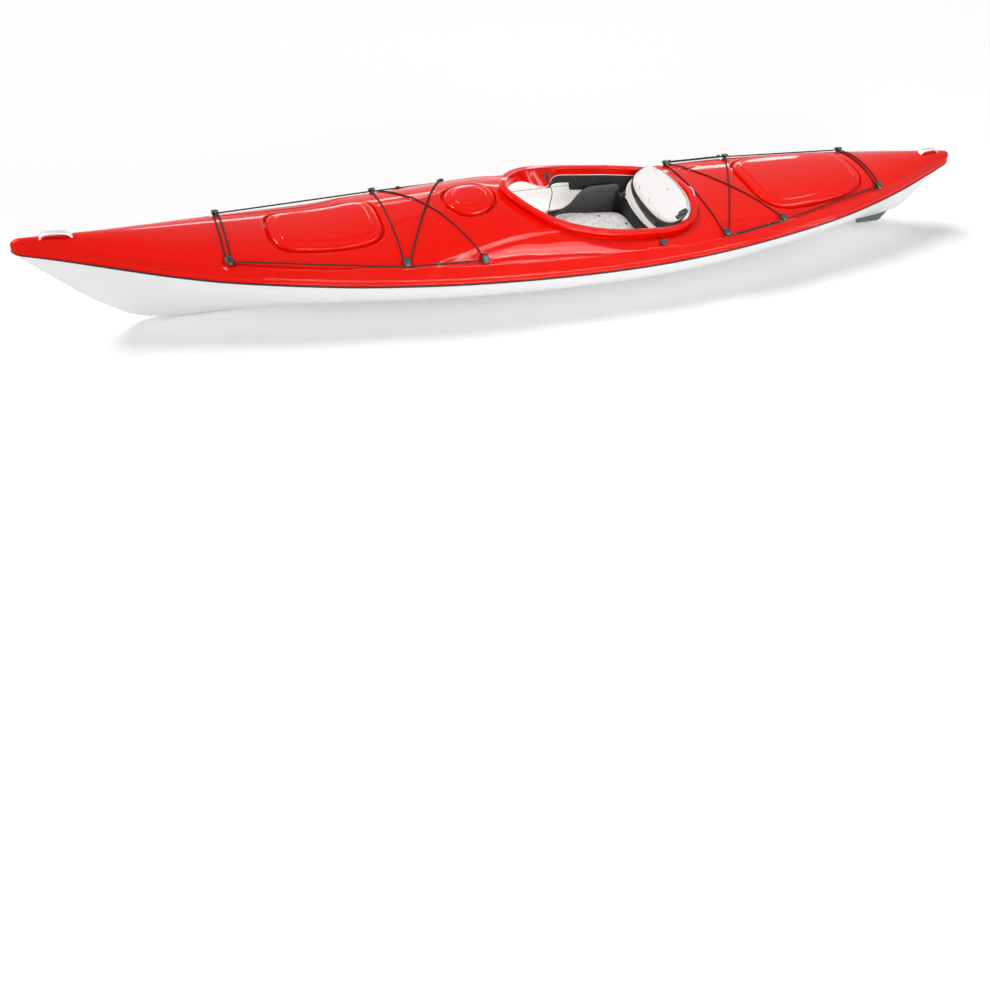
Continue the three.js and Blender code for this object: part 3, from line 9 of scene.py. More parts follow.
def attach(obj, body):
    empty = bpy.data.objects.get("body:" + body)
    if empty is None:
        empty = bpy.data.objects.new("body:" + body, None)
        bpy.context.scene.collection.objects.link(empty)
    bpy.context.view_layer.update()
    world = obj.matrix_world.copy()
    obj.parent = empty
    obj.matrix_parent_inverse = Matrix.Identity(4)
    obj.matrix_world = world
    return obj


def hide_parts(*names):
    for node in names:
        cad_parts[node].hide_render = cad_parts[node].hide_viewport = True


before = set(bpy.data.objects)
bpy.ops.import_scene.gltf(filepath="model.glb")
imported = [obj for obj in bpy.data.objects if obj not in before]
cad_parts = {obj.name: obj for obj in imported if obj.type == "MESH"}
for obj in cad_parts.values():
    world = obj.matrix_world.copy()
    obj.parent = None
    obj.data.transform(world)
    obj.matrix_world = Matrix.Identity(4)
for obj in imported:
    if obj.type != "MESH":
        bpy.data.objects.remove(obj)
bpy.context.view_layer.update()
print("frame loaded:", len(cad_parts), "solids")

# Sit-in fishing kayak, in metres: bow towards -X, stern towards +X, port towards -Y, keel on z = 0.


def placed(name, data):
    # new object in the scene
    made = bpy.data.objects.new(name, data)
    bpy.context.scene.collection.objects.link(made)
    return made


# Camera
view = {
    "place": (-1.649, -2.998, 2.327),
    "right": (0.9318, -0.3464, 0.1085),
    "up": (0.2002, 0.7397, 0.6425),
    "back": (-0.3028, -0.577, 0.7586),
    "lens": 31.66, "sensor": 36, "far": 60,
}
camera = placed("camera", bpy.data.cameras.new("camera"))
camera.data.sensor_width, camera.data.lens, camera.data.clip_end = view["sensor"], view["lens"], view["far"]
turn = Matrix((view["right"], view["up"], view["back"])).transposed().to_4x4()
camera.matrix_world = Matrix.Translation(view["place"]) @ turn
bpy.context.scene.camera = camera
print("camera placed")

# Lines of the hull and the deck
hull = {
    "length": 4.27, "beam": 0.67, "bowHeight": 0.412, "wall": 0.004, "seamGap": 0.0026,
    "noseRadius": 0.036, "noseFlat": 0.006, "keelFlat": 0.015, "keelFlatShare": 0.12,
    "vMiddle": 0.28, "vEnds": 0.85, "bilgeMiddle": 2.5, "bilgeEnds": 1.3, "tipRiseShare": 0.45,
    "beamShares": [(-0.5, 0.07), (-0.471, 0.137), (-0.434, 0.251), (-0.392, 0.39), (-0.329, 0.571),
                   (-0.244, 0.746), (-0.16, 0.878), (-0.075, 0.959), (0.01, 1), (0.094, 1), (0.179, 0.94),
                   (0.263, 0.828), (0.348, 0.644), (0.415, 0.42), (0.46, 0.235), (0.5, 0.07)],
    "seamShares": [(-0.5, 0.888), (-0.4166, 0.745), (-0.3543, 0.65), (-0.2923, 0.587), (-0.23, 0.534),
                   (-0.1677, 0.502), (-0.1054, 0.476), (0, 0.455), (0.06, 0.456), (0.1127, 0.466),
                   (0.175, 0.49), (0.2372, 0.529), (0.2996, 0.568), (0.3618, 0.624), (0.4241, 0.689),
                   (0.4759, 0.762), (0.5, 0.803)],
    "keelShares": [(-0.5, 0.864), (-0.4836, 0.68), (-0.4677, 0.502), (-0.452, 0.335), (-0.4365, 0.204),
                   (-0.4255, 0.124), (-0.4148, 0.073), (-0.4042, 0.0485), (-0.3836, 0.024),
                   (-0.344, 0.0097), (-0.281, 0), (-0.18, 0), (-0.05, 0), (0.07, 0), (0.1438, 0.0146),
                   (0.206, 0.039), (0.2684, 0.0655), (0.3513, 0.0995), (0.384, 0.11), (0.4215, 0.146),
                   (0.445, 0.184), (0.4571, 0.214), (0.4625, 0.25), (0.4674, 0.31), (0.4838, 0.544),
                   (0.5, 0.791)],
    "crownShares": [(-0.5, 1), (-0.4583, 0.983), (-0.4166, 0.942), (-0.3855, 0.91), (-0.3513, 0.879),
                    (-0.3232, 0.85), (-0.2766, 0.813), (-0.2342, 0.8), (-0.1988, 0.837), (-0.1677, 0.879),
                    (-0.1365, 0.913), (-0.1054, 0.942), (-0.0742, 0.965), (-0.0468, 0.944),
                    (-0.0234, 0.932), (0, 0.908), (0.0234, 0.864), (0.0468, 0.813), (0.0703, 0.767),
                    (0.0937, 0.733), (0.1171, 0.718), (0.1405, 0.718), (0.1593, 0.733), (0.206, 0.772),
                    (0.2684, 0.811), (0.3306, 0.85), (0.393, 0.888), (0.4241, 0.908), (0.455, 0.922),
                    (0.4759, 0.927), (0.5, 0.913)],
    "shoulderHeight": 0.074, "shoulderShare": 0.62, "shoulderInset": 0.016, "shoulderWidthShare": 0.25,
    "lipHeight": 0.024, "lipInset": 0.004, "crownPower": 2.2, "crownRoundPower": 1.2,
    "stationStep": 0.016, "crownColumns": 40, "bilgeColumns": 34, "bilgeSpread": 1.15,
    # close stations: at the tips, then from, to and step round each fitting, and the least step kept
    "tipStations": 11, "nearStations": (-0.034, 0.035, 0.0045), "leastStep": 0.0004,
    # lip of the deck: shares of its step inward and of its height, and the radius of each corner
    "lipShares": [(0, 0), (0, 0.3), (0.45, 0.4), (0.45, 0.9), (1.2, 1.05)],
    "lipRadii": [0, 0.0016, 0.0016, 0.002, 0.002, 0], "flankShares": (0.15, 0.95, 6),
    # inside of the deck: setback from the tips, least half width, heights over the seam between which
    # the wall sets in, and what is added to it
    "innerSetback": 0.03, "leastHalf": 0.02, "wallFrom": 0.01, "wallTo": 0.05,
    "extraDrop": 0.0035, "extraFrom": 0.003,
}
halfLength = hull["length"] / 2


def smoothCurve(shares, unit):
    # cubic through the table, each slope from the neighbours on both sides; flat beyond the table's ends
    places, values = (np.array(shares) * (hull["length"], unit)).T

    def at(x):
        x = np.clip(x, places[0], places[-1])
        right = np.clip(np.searchsorted(places, x, side="right"), 1, len(places) - 1)
        left = right - 1
        before = np.where(left > 0, left - 1, right)
        after = np.where(right < len(places) - 1, right + 1, left)
        half = (places[right] - places[left]) / 2
        a = half / (places[left] - places[before])
        b = half / (places[after] - places[right])
        p = (x - places[left]) / (2 * half)
        return (values[before] * (-a * p**3 + 2 * a * p**2 - a * p)
                + values[left] * ((1 + a) * p**3 - (1.5 + 2 * a) * p**2 + (a - 0.5) * p + 1)
                + values[right] * (-(1 + b) * p**3 + (1.5 + b) * p**2 + 0.5 * p)
                + values[after] * b * (p**3 - p**2))
    return at


tableBeam = smoothCurve(hull["beamShares"], hull["beam"] / 2)
seamLine = smoothCurve(hull["seamShares"], hull["bowHeight"])
keelCurve = smoothCurve(hull["keelShares"], hull["bowHeight"])
crownCurve = smoothCurve(hull["crownShares"], hull["bowHeight"])


def noseRound(x):
    # quarter circle: 0 at the tips, 1 past the nose radius
    depth = np.clip(halfLength - np.abs(x), 0, hull["noseRadius"])
    return np.sqrt(np.maximum(0, 1 - (1 - depth / hull["noseRadius"]) ** 2))


def halfBeam(x):
    return np.maximum(hull["noseFlat"], tableBeam(x) * noseRound(x))


def crownLine(x):
    rise = hull["tipRiseShare"] + (1 - hull["tipRiseShare"]) * noseRound(x)
    return seamLine(x) + (crownCurve(x) - seamLine(x)) * rise


def shoulder(x):
    # half width and height of the deck's shoulder, and the height of its lip
    half, bottom, crown = halfBeam(x), seamLine(x) + hull["seamGap"] / 2, crownLine(x)
    rise = np.minimum(hull["shoulderHeight"], hull["shoulderShare"] * (crown - bottom))
    inward = np.minimum(hull["shoulderInset"], hull["shoulderWidthShare"] * half)
    return half - inward, bottom + rise, np.minimum(hull["lipHeight"], rise / 2)


def deckHeight(x, y):
    # crown: shoulder + (crown - shoulder) * (1 - |y / width| ^ 2.2) ^ (1 / 1.2)
    width, low, _ = shoulder(x)
    across = np.clip(np.abs(y) / width, 0, 1)
    return low + (crownLine(x) - low) * (1 - across ** hull["crownPower"]) ** (1 / hull["crownRoundPower"])


def smoothStep(value, low, high):
    t = np.clip((value - low) / (high - low), 0, 1)
    return t * t * (3 - 2 * t)


def unit(vectors):
    return vectors / np.linalg.norm(vectors, axis=-1, keepdims=True)


def deckSlopes(x, y, reach):
    # rise of the deck for each metre along and across the hull
    return ((deckHeight(x + reach, y) - deckHeight(x - reach, y)) / (2 * reach),
            (deckHeight(x, y + reach) - deckHeight(x, y - reach)) / (2 * reach))


def deckFrame(x, y, reach=0.011):
    # origin on the deck, then the directions across, out of the deck and along the hull
    slopeX, slopeY = deckSlopes(x, y, reach)
    out = unit(np.array([-slopeX, -slopeY, 1.0]))
    across = unit(np.cross(out, (1, 0, 0)))
    return np.array([x, y, float(deckHeight(x, y))]), across, out, np.cross(across, out)


# Small tools for meshes
tiny = 1e-9
mergeReach = 2e-6
cornerSteps = 3
cornerShareMost = 0.48
sharpAngle = 38


def quadSpots(rows, columns, closedRows, closedColumns):
    # row and column of each quad's first corner
    return np.meshgrid(np.arange(rows - (not closedRows)), np.arange(columns - (not closedColumns)),
                       indexing="ij")


def gridFaces(rows, columns, closedRows=False, closedColumns=False, first=0):
    # quads between neighbours of a rows x columns grid of points
    i, j = quadSpots(rows, columns, closedRows, closedColumns)
    down, along = (i + 1) % rows, (j + 1) % columns
    quads = np.stack([i * columns + j, down * columns + j, down * columns + along, i * columns + along], -1)
    return quads.reshape(-1, 4) + first


def gridCoordinates(rows, columns, closedRows=False, closedColumns=False):
    # for each corner of gridFaces, its row and column, uncut where the grid closes on itself
    i, j = quadSpots(rows, columns, closedRows, closedColumns)
    corners = np.stack([np.stack([i, i + 1, i + 1, i], -1), np.stack([j, j, j + 1, j + 1], -1)], -1)
    return corners.reshape(-1, 2).astype(float)


def softened(corners, radius, steps=cornerSteps):
    # each corner of closed outlines becomes a quadratic curve that starts and ends a radius away from it
    back, ahead = np.roll(corners, 1, axis=-2) - corners, np.roll(corners, -1, axis=-2) - corners
    radius = np.broadcast_to(np.asarray(radius, float), corners.shape[-2:-1])[:, None]
    lengths = [np.maximum(np.linalg.norm(side, axis=-1, keepdims=True), tiny) for side in (back, ahead)]
    reach = [side * np.minimum(radius / length, cornerShareMost)
             for side, length in zip((back, ahead), lengths)]
    t = np.linspace(0, 1, steps + 1)[:, None]
    curve = corners[..., None, :] + reach[0][..., None, :] * (1 - t) ** 2 + reach[1][..., None, :] * t ** 2
    return curve.reshape(*corners.shape[:-2], -1, corners.shape[-1])


def rounded(long, wide, radius, steps=cornerSteps):
    # rectangle round the origin with softened corners, from its half length and half width
    return softened(np.array([(-long, -wide), (long, -wide), (long, wide), (-long, wide)]), radius, steps)


def superellipse(count, power):
    # sign(cos t) |cos t|^(2 / power) along and the same of sin t across, for t once round
    turn = np.linspace(0, 2 * np.pi, count, endpoint=False)
    return [np.sign(wave) * np.abs(wave) ** (2 / power) for wave in (np.cos(turn), np.sin(turn))]


def runAlong(points):
    # distance along a line from its first point to each
    return np.concatenate([[0], np.cumsum(np.linalg.norm(np.diff(points, axis=0), axis=1))])


def evenly(points, count, closed=True):
    # points at even steps along a line
    line = np.vstack([points, points[:1]]) if closed else points
    run = runAlong(line)
    at = np.linspace(0, run[-1], count, endpoint=not closed)
    return np.stack([np.interp(at, run, column) for column in line.T], 1)


def curveBetween(p0, p1, p2, p3, t):
    # cubic from each p1 to its p2, the slopes weighted by the root of the distances between the points
    d0, d1, d2 = (np.sqrt(np.linalg.norm(b - a, axis=1))[:, None] for a, b in ((p0, p1), (p1, p2), (p2, p3)))
    m1 = ((p1 - p0) / d0 - (p2 - p0) / (d0 + d1) + (p2 - p1) / d1) * d1
    m2 = ((p2 - p1) / d1 - (p3 - p1) / (d1 + d2) + (p3 - p2) / d2) * d1
    t = t[:, None, None]
    curve = p1 + m1 * t + (-3 * p1 + 3 * p2 - 2 * m1 - m2) * t**2 + (2 * p1 - 2 * p2 + m1 + m2) * t**3
    return curve.transpose(1, 0, 2).reshape(-1, p1.shape[1])


def curveThrough(points, count, steps=40):
    # open curve through points, evenly spaced; its ends run on straight
    points = np.asarray(points, float)
    run = np.concatenate([2 * points[:1] - points[1:2], points, 2 * points[-1:] - points[-2:-1]])
    dense = curveBetween(run[:-3], run[1:-2], run[2:-1], run[3:], np.linspace(0, 1, steps))
    return evenly(dense, count, closed=False)


def eased(points, spread):
    # closed line smoothed with a bell curve over neighbouring points
    reach = np.arange(-3 * spread, 3 * spread + 1)
    bell = np.exp(-(reach / spread) ** 2 / 2)
    return sum(np.roll(points, k, axis=0) * w for k, w in zip(reach, bell / bell.sum()))


def outwardOf(outline):
    # outward normals of a closed plan outline
    along = unit(np.roll(outline, -1, axis=0) - np.roll(outline, 1, axis=0))
    out = np.stack([along[:, 1], -along[:, 0]], 1)
    turned = np.sum(out * (outline - outline.mean(axis=0))) < 0
    return -out if turned else out


def turnedOut(mesh, merge):
    # all faces turned outward, and points that coincide joined if asked
    work = bmesh.new()
    work.from_mesh(mesh)
    if merge:
        bmesh.ops.remove_doubles(work, verts=work.verts, dist=mergeReach)
    if work.calc_volume(signed=True) < 0:
        bmesh.ops.reverse_faces(work, faces=work.faces)
    work.to_mesh(mesh)
    work.free()


def shadeSmooth(mesh, sharp):
    # smooth shading, with hard edges above an angle
    mesh.shade_smooth()
    mesh.set_sharp_from_angle(angle=radians(sharp))


def makePiece(name, points, faces, material, body="hull", slot=None, instead=(), sharp=sharpAngle,
              corners=None, attributes=None):
    points = np.asarray(points, float).reshape(-1, 3)
    if not np.isfinite(points).all():
        raise ValueError(f"{name} has points that aren't numbers")
    mesh = bpy.data.meshes.new(name)
    mesh.from_pydata(points, [], faces)
    if corners is not None:
        flat = np.zeros((len(mesh.loops), 2))
        flat[:len(corners)] = corners
        mesh.uv_layers.new(name="UVMap").data.foreach_set("uv", flat.ravel())
    for key, values in (attributes or {}).items():
        values = np.asarray(values, float).ravel()
        mesh.attributes.new(key, "FLOAT", "POINT").data.foreach_set("value", values)
    turnedOut(mesh, merge=True)
    shadeSmooth(mesh, sharp)
    mesh.materials.append(material)
    piece = placed(name, mesh)
    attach(piece, body)
    if instead:
        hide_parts(*instead)
    return piece


def join(parts):
    # several (points, faces) lists as one
    points, faces, count = [], [], 0
    for partPoints, partFaces in parts:
        partPoints = np.asarray(partPoints, float).reshape(-1, 3)
        points.append(partPoints)
        faces += [[int(k) + count for k in face] for face in partFaces]
        count += len(partPoints)
    return np.vstack(points), faces


def closedGrid(rings):
    # skin over open runs of closed rings, with a flat face over each end
    rows, columns = rings.shape[:2]
    ends = [list(range(columns)), list(range((rows - 1) * columns, rows * columns))[::-1]]
    return rings.reshape(-1, 3), gridFaces(rows, columns, closedColumns=True).tolist() + ends


def loopedGrid(rings):
    # skin over closed rings that run round in a loop
    return rings.reshape(-1, 3), gridFaces(*rings.shape[:2], True, True)


def twoSkins(outer, inner, edge, ends=()):
    # outer and inner grid, the second turned round, and a strip of quads along the edge that they share
    rows, columns = outer.shape[:2]
    first = rows * columns
    ahead = np.roll(edge, -1)
    faces = gridFaces(rows, columns).tolist() + gridFaces(rows, columns, first=first)[:, ::-1].tolist()
    faces += [*ends, *np.stack([edge, edge + first, ahead + first, ahead], -1).tolist()]
    return np.concatenate([outer.reshape(-1, 3), inner.reshape(-1, 3)]), faces


def tubeAlong(path, radius, sides=10, closed=False, guide=(0, 0, 1)):
    # circles carried along a path: each lies across it, turned by the guide direction
    path = np.asarray(path, float)
    if closed:
        ahead = unit(np.roll(path, -1, axis=0) - np.roll(path, 1, axis=0))
    else:
        ahead = unit(np.gradient(path, axis=0))
    side = unit(np.cross(np.broadcast_to(guide, ahead.shape), ahead))
    up = np.cross(ahead, side)
    angle = (np.arange(sides) / sides * 2 * np.pi)[:, None]
    radius = np.broadcast_to(np.asarray(radius, float), (len(path),))[:, None, None]
    rings = path[:, None] + radius * (side[:, None] * np.cos(angle) + up[:, None] * np.sin(angle))
    return loopedGrid(rings) if closed else closedGrid(rings)


def latheAt(profile, place, sides=32, flutes=0, depth=0.0):
    # profile of radius and height turned round the second direction of a place; flutes wave the radius
    origin, across, out, along = place
    radius, height = np.array(profile, float).T[..., None, None]
    angle = (np.arange(sides) / sides * 2 * np.pi)[:, None]
    wave = 1 + depth * np.cos(flutes * angle)
    turned = np.cos(angle) * across + np.sin(angle) * along
    return closedGrid(origin + radius * wave * turned + height * out)


def extruded(outline, low, high, edge, place):
    # flat outline with rounded rims: its inset shrinks from the edge radius to 0 and back over the thickness
    quarter = np.linspace(0, np.pi / 2, 4)
    inset = np.concatenate([edge * (1 - np.sin(quarter)), edge * (1 - np.cos(quarter))])
    level = np.concatenate([low + edge * (1 - np.cos(quarter)), high - edge * (1 - np.sin(quarter))])
    out = outwardOf(outline)
    return closedGrid(np.stack([place(outline - out * k, v) for k, v in zip(inset, level)]))


def asPoints(*values):
    # coordinates from arrays and numbers
    return np.stack(np.broadcast_arrays(*values), -1)


# Finishes
def newGroup(name, inputs, outputs):
    # shader group with its sockets, given as names and kinds
    group = bpy.data.node_groups.new(name, "ShaderNodeTree")
    for way, sockets in (("INPUT", inputs), ("OUTPUT", outputs)):
        for key, kind in sockets.items():
            group.interface.new_socket(name=key, in_out=way, socket_type=f"NodeSocket{kind}")
    return group, group.nodes.new("NodeGroupInput").outputs, group.nodes.new("NodeGroupOutput").inputs


def addNode(tree, kind, links=None, **values):
    # new node: lower-case names set its own settings, capital names its sockets; links feed its sockets
    node = tree.nodes.new(f"ShaderNode{kind}")
    for key, value in values.items():
        if key[0].islower():
            setattr(node, key, value)
        else:
            node.inputs[key.replace("_", " ")].default_value = value
    for key, source in (links or {}).items():
        tree.links.new(source, node.inputs[key])
    return node


def feed(tree, node, places, values):
    # each value is a number, a colour or another node's output
    for place, value in zip(places, values):
        if isinstance(value, bpy.types.NodeSocket):
            tree.links.new(value, node.inputs[place])
        else:
            node.inputs[place].default_value = value
    return node


def maths(tree, operation, *values, clamp=False):
    node = addNode(tree, "Math", operation=operation, use_clamp=clamp)
    return feed(tree, node, range(len(values)), values).outputs[0]


mixPlaces = {"colours": (6, 7), "out": 2}


def mixColours(tree, factor, first, second):
    # blend of two colours; the node's colour sockets go by their places
    node = addNode(tree, "Mix", {"Factor": factor}, data_type="RGBA")
    return feed(tree, node, mixPlaces["colours"], (first, second)).outputs[mixPlaces["out"]]


def colour(red, green, blue):
    return (red, green, blue, 1)


grain = {
    # noise scales and details
    "mottle": {"Scale": 3.1, "Detail": 4.0}, "pores": {"Detail": 2.0},
    "smear": {"Scale": 17.0, "Detail": 5.0}, "patch": {"Scale": 55.0, "Detail": 6.0},
    # how sharp an edge must be before it is rubbed
    "edge": {"From_Min": 0.52, "From_Max": 0.62},
    # depths of the bumps in metres, and how strongly cloth and braid show theirs
    "peelDepth": 0.0004, "weaveDepth": 0.0005, "weaveBump": 0.25, "braidDepth": 0.0006, "braidBump": 0.6,
}


def moulding():
    # moulded skin: faint large mottling of two colours, orange peel and fine pores as bump, uneven gloss
    group, inlet, outlet = newGroup("mouldedSkin", {"Base": "Color", "Second": "Color", "Peel": "Float",
                                                    "PeelScale": "Float", "Gloss": "Float", "Haze": "Float"},
                                    {"Color": "Color", "Roughness": "Float", "Normal": "Vector"})
    place = {"Vector": addNode(group, "TexCoord").outputs["Object"]}
    large = addNode(group, "TexNoise", place, **grain["mottle"])
    pores = addNode(group, "TexNoise", {**place, "Scale": inlet["PeelScale"]}, **grain["pores"])
    smear = addNode(group, "TexNoise", place, **grain["smear"])
    bump = addNode(group, "Bump", {"Height": pores.outputs["Fac"], "Strength": inlet["Peel"]},
                   Distance=grain["peelDepth"])
    group.links.new(mixColours(group, large.outputs["Fac"], inlet["Base"], inlet["Second"]), outlet["Color"])
    group.links.new(maths(group, "MULTIPLY_ADD", smear.outputs["Fac"], inlet["Haze"], inlet["Gloss"]),
                    outlet["Roughness"])
    group.links.new(bump.outputs[0], outlet["Normal"])
    return group


def rubbing():
    # wear: where the surface turns sharply outwards and a coarse noise agrees, the worn colour shows
    group, inlet, outlet = newGroup("rubbedEdges", {"Color": "Color", "Worn": "Color", "Amount": "Float"},
                                    {"Color": "Color"})
    sharpness = addNode(group, "NewGeometry").outputs["Pointiness"]
    edge = addNode(group, "MapRange", {"Value": sharpness}, **grain["edge"])
    place = addNode(group, "TexCoord").outputs["Object"]
    patch = addNode(group, "TexNoise", {"Vector": place}, **grain["patch"])
    both = maths(group, "MULTIPLY", edge.outputs[0], patch.outputs["Fac"])
    mask = maths(group, "MULTIPLY", both, inlet["Amount"], clamp=True)
    group.links.new(mixColours(group, mask, inlet["Color"], inlet["Worn"]), outlet["Color"])
    return group


def wovenHeight(tree, first, second):
    # two crossing sets of rounded threads: 0 to 1 from the product of their sines
    crossed = maths(tree, "MULTIPLY", maths(tree, "SINE", first), maths(tree, "SINE", second))
    return addNode(tree, "MapRange", {"Value": crossed}, From_Min=-1.0).outputs[0]


def weaving():
    # plain weave on a surface's own map, in metres; its colour goes from the dark to the light colour with
    # the threads' height, painted shade where they dip
    group, inlet, outlet = newGroup("plainWeave", {"Threads": "Float", "Dark": "Color", "Light": "Color"},
                                    {"Color": "Color", "Height": "Float"})
    flat = addNode(group, "TexCoord").outputs["UV"]
    size = addNode(group, "VectorMath", {0: flat, "Scale": inlet["Threads"]}, operation="SCALE")
    apart = addNode(group, "SeparateXYZ", {0: size.outputs[0]}).outputs
    height = wovenHeight(group, *(maths(group, "MULTIPLY", apart[axis], np.pi) for axis in ("X", "Y")))
    # painted shade: darker where the threads dip, lighter on their crests
    group.links.new(mixColours(group, height, inlet["Dark"], inlet["Light"]), outlet["Color"])
    group.links.new(height, outlet["Height"])
    return group


groups = {"moulded": moulding(), "rubbed": rubbing(), "weave": weaving()}
finish = {}


def newFinish(name, **shader):
    made = bpy.data.materials.new(name)
    made.use_nodes = True
    skin = made.node_tree.nodes["Principled BSDF"]
    for key, value in shader.items():
        skin.inputs[key.replace("_", " ")].default_value = value
    finish[name] = made
    return made.node_tree, skin.inputs


def placeGroup(tree, key, **values):
    node = tree.nodes.new("ShaderNodeGroup")
    node.node_tree = groups[key]
    return feed(tree, node, values.keys(), values.values()).outputs


def mouldedFinish(name, base, second, gloss, haze, peel=0.1, peelScale=220.0, worn=None, amount=0.5,
                  **shader):
    # moulded plastic or gelcoat, with rubbed edges where a worn colour is given
    tree, skin = newFinish(name, **shader)
    surface = placeGroup(tree, "moulded", Base=colour(*base), Second=colour(*second), Gloss=gloss, Haze=haze,
                         Peel=peel, PeelScale=peelScale)
    shade = surface["Color"]
    if worn:
        shade = placeGroup(tree, "rubbed", Color=shade, Worn=colour(*worn), Amount=amount)["Color"]
    tree.links.new(shade, skin["Base Color"])
    for key in ("Roughness", "Normal"):
        tree.links.new(surface[key], skin[key])


def clothFinish(name, dark, light, line, threads=900.0):
    # woven cloth: weave colour, darker in the dips between threads as painted shade, and bump, darkened to
    # the thread colour where the seam attribute is high
    tree, skin = newFinish(name, Roughness=0.8, Sheen_Weight=0.2, Sheen_Roughness=0.5)
    weave = placeGroup(tree, "weave", Dark=colour(*dark), Light=colour(*light), Threads=threads)
    seam = addNode(tree, "Attribute", attribute_name="seam").outputs["Fac"]
    bump = addNode(tree, "Bump", {"Height": weave["Height"]}, Strength=grain["weaveBump"],
                   Distance=grain["weaveDepth"])
    tree.links.new(mixColours(tree, seam, weave["Color"], colour(*line)), skin["Base Color"])
    tree.links.new(bump.outputs[0], skin["Normal"])


def braidFinish(name, dark, light, turns, strands):
    # braided cord on its own map: two sets of strands that cross on slants, u along the cord, v round it;
    # darker where the strands dip, as painted shade
    tree, skin = newFinish(name, Roughness=0.62, Specular_IOR_Level=0.15)
    apart = addNode(tree, "SeparateXYZ", {0: addNode(tree, "TexCoord").outputs["UV"]}).outputs
    slants = [maths(tree, "MULTIPLY_ADD", apart["Y"], sense * strands * 2 * np.pi,
                    maths(tree, "MULTIPLY", apart["X"], turns)) for sense in (1, -1)]
    height = wovenHeight(tree, *slants)
    bump = addNode(tree, "Bump", {"Height": height}, Strength=grain["braidBump"],
                   Distance=grain["braidDepth"])
    # painted shade: colour darker where the strands dip, lighter on their crests
    tree.links.new(mixColours(tree, height, colour(*dark), colour(*light)), skin["Base Color"])
    tree.links.new(bump.outputs[0], skin["Normal"])


mouldedFinish("deckRed", (0.93, 0.0065, 0.0006), (0.9, 0.005, 0.0005), 0.05, 0.03, 0.05, 40.0,
              Specular_IOR_Level=0.1)
mouldedFinish("hullWhite", (0.88, 0.885, 0.89), (0.85, 0.855, 0.86), 0.2, 0.1, 0.1, 120.0,
              Specular_IOR_Level=0.4)
# its emission is painted light: the insides of the shells glow a little so that they show brighter than the
# lamps make them
mouldedFinish("insideGlowWhite", (0.88, 0.88, 0.87), (0.85, 0.85, 0.84), 0.35, 0.1, 0.1, 120.0,
              Specular_IOR_Level=0.3, Emission_Color=colour(1, 0.98, 0.94), Emission_Strength=0.34)
mouldedFinish("trimBlack", (0.006, 0.006, 0.007), (0.011, 0.011, 0.012), 0.42, 0.15, 0.3, 700.0,
              worn=(0.04, 0.04, 0.042), Specular_IOR_Level=0.3)
mouldedFinish("podBlack", (0.012, 0.012, 0.013), (0.018, 0.018, 0.02), 0.5, 0.12, 0.3, 300.0,
              Specular_IOR_Level=0.3)
mouldedFinish("webbingGrey", (0.2, 0.2, 0.21), (0.16, 0.16, 0.17), 0.5, 0.1)
mouldedFinish("fittingGrey", (0.02, 0.018, 0.019), (0.013, 0.012, 0.013), 0.36, 0.12, 0.35, 900.0,
              worn=(0.05, 0.05, 0.052), amount=0.7, Specular_IOR_Level=0.3)
mouldedFinish("handleSilver", (0.74, 0.7, 0.69), (0.66, 0.62, 0.62), 0.24, 0.12, 0.15, 500.0,
              worn=(0.9, 0.88, 0.86), amount=0.6, Metallic=0.25)
mouldedFinish("skegGreen", (0.115, 0.14, 0.118), (0.09, 0.112, 0.095), 0.42, 0.12, 0.25, 500.0,
              worn=(0.25, 0.28, 0.25), amount=0.7)
mouldedFinish("panGrey", (0.74, 0.71, 0.67), (0.68, 0.655, 0.615), 0.38, 0.12, 0.3, 650.0,
              worn=(0.8, 0.79, 0.76))
mouldedFinish("foamBlack", (0.008, 0.009, 0.009), (0.015, 0.016, 0.016), 0.65, 0.15, 0.6, 420.0,
              Specular_IOR_Level=0.2, Sheen_Weight=0.05)
mouldedFinish("steel", (0.62, 0.62, 0.63), (0.5, 0.5, 0.52), 0.24, 0.15, 0.1, 800.0, Metallic=1.0)
clothFinish("cushionWhite", (0.8, 0.795, 0.785), (0.9, 0.895, 0.89), (0.13, 0.12, 0.13))
clothFinish("foamCloth", (0.009, 0.01, 0.01), (0.02, 0.021, 0.021), (0.002, 0.002, 0.002), 800.0)
braidFinish("cordBlack", (0.003, 0.003, 0.003), (0.01, 0.009, 0.009), 1400.0, 4)
print("finishes made")

# Deck details
cockpit = {
    "length": 0.938, "halfWidth": 0.274, "middle": 0.0419 * hull["length"],
    "shares": [(0.035, 0.3), (0.1, 0.575), (0.19, 0.79), (0.31, 0.925), (0.45, 0.99), (0.59, 1),
               (0.72, 0.985), (0.83, 0.915), (0.915, 0.745), (0.975, 0.42)],
    "rimHeight": 0.028, "rimReach": 0.026, "rimDrop": 0.011, "rimWall": 0.004,
    "apronDepth": 0.032, "frontExtra": 0.016, "braceReach": 0.066, "braceDrop": 0.022,
    "braceSetback": 0.27, "braceLength": 0.062, "flange": 0.019, "sunk": 0.001, "toe": 0.0004,
    "openingGap": 0.0013, "edgeRadius": 0.0027,
    "points": 200, "curveSteps": 60, "evenPoints": 600, "ease": 5,
    # radii of the section's corners, from the lip's lower edge inward, round the apron and back
    "radii": [0.0012, 0.004, 0.005, 0.004, 0.006, 0.0012, 0.0012, 0.004, 0.0005, 0.0003, 0.0003, 0.011, 0.003,
              0.002, 0.0012],
}
cockpitFront = cockpit["middle"] - cockpit["length"] / 2
cockpitBack = cockpit["middle"] + cockpit["length"] / 2
bracePlace = cockpitFront + cockpit["braceSetback"]
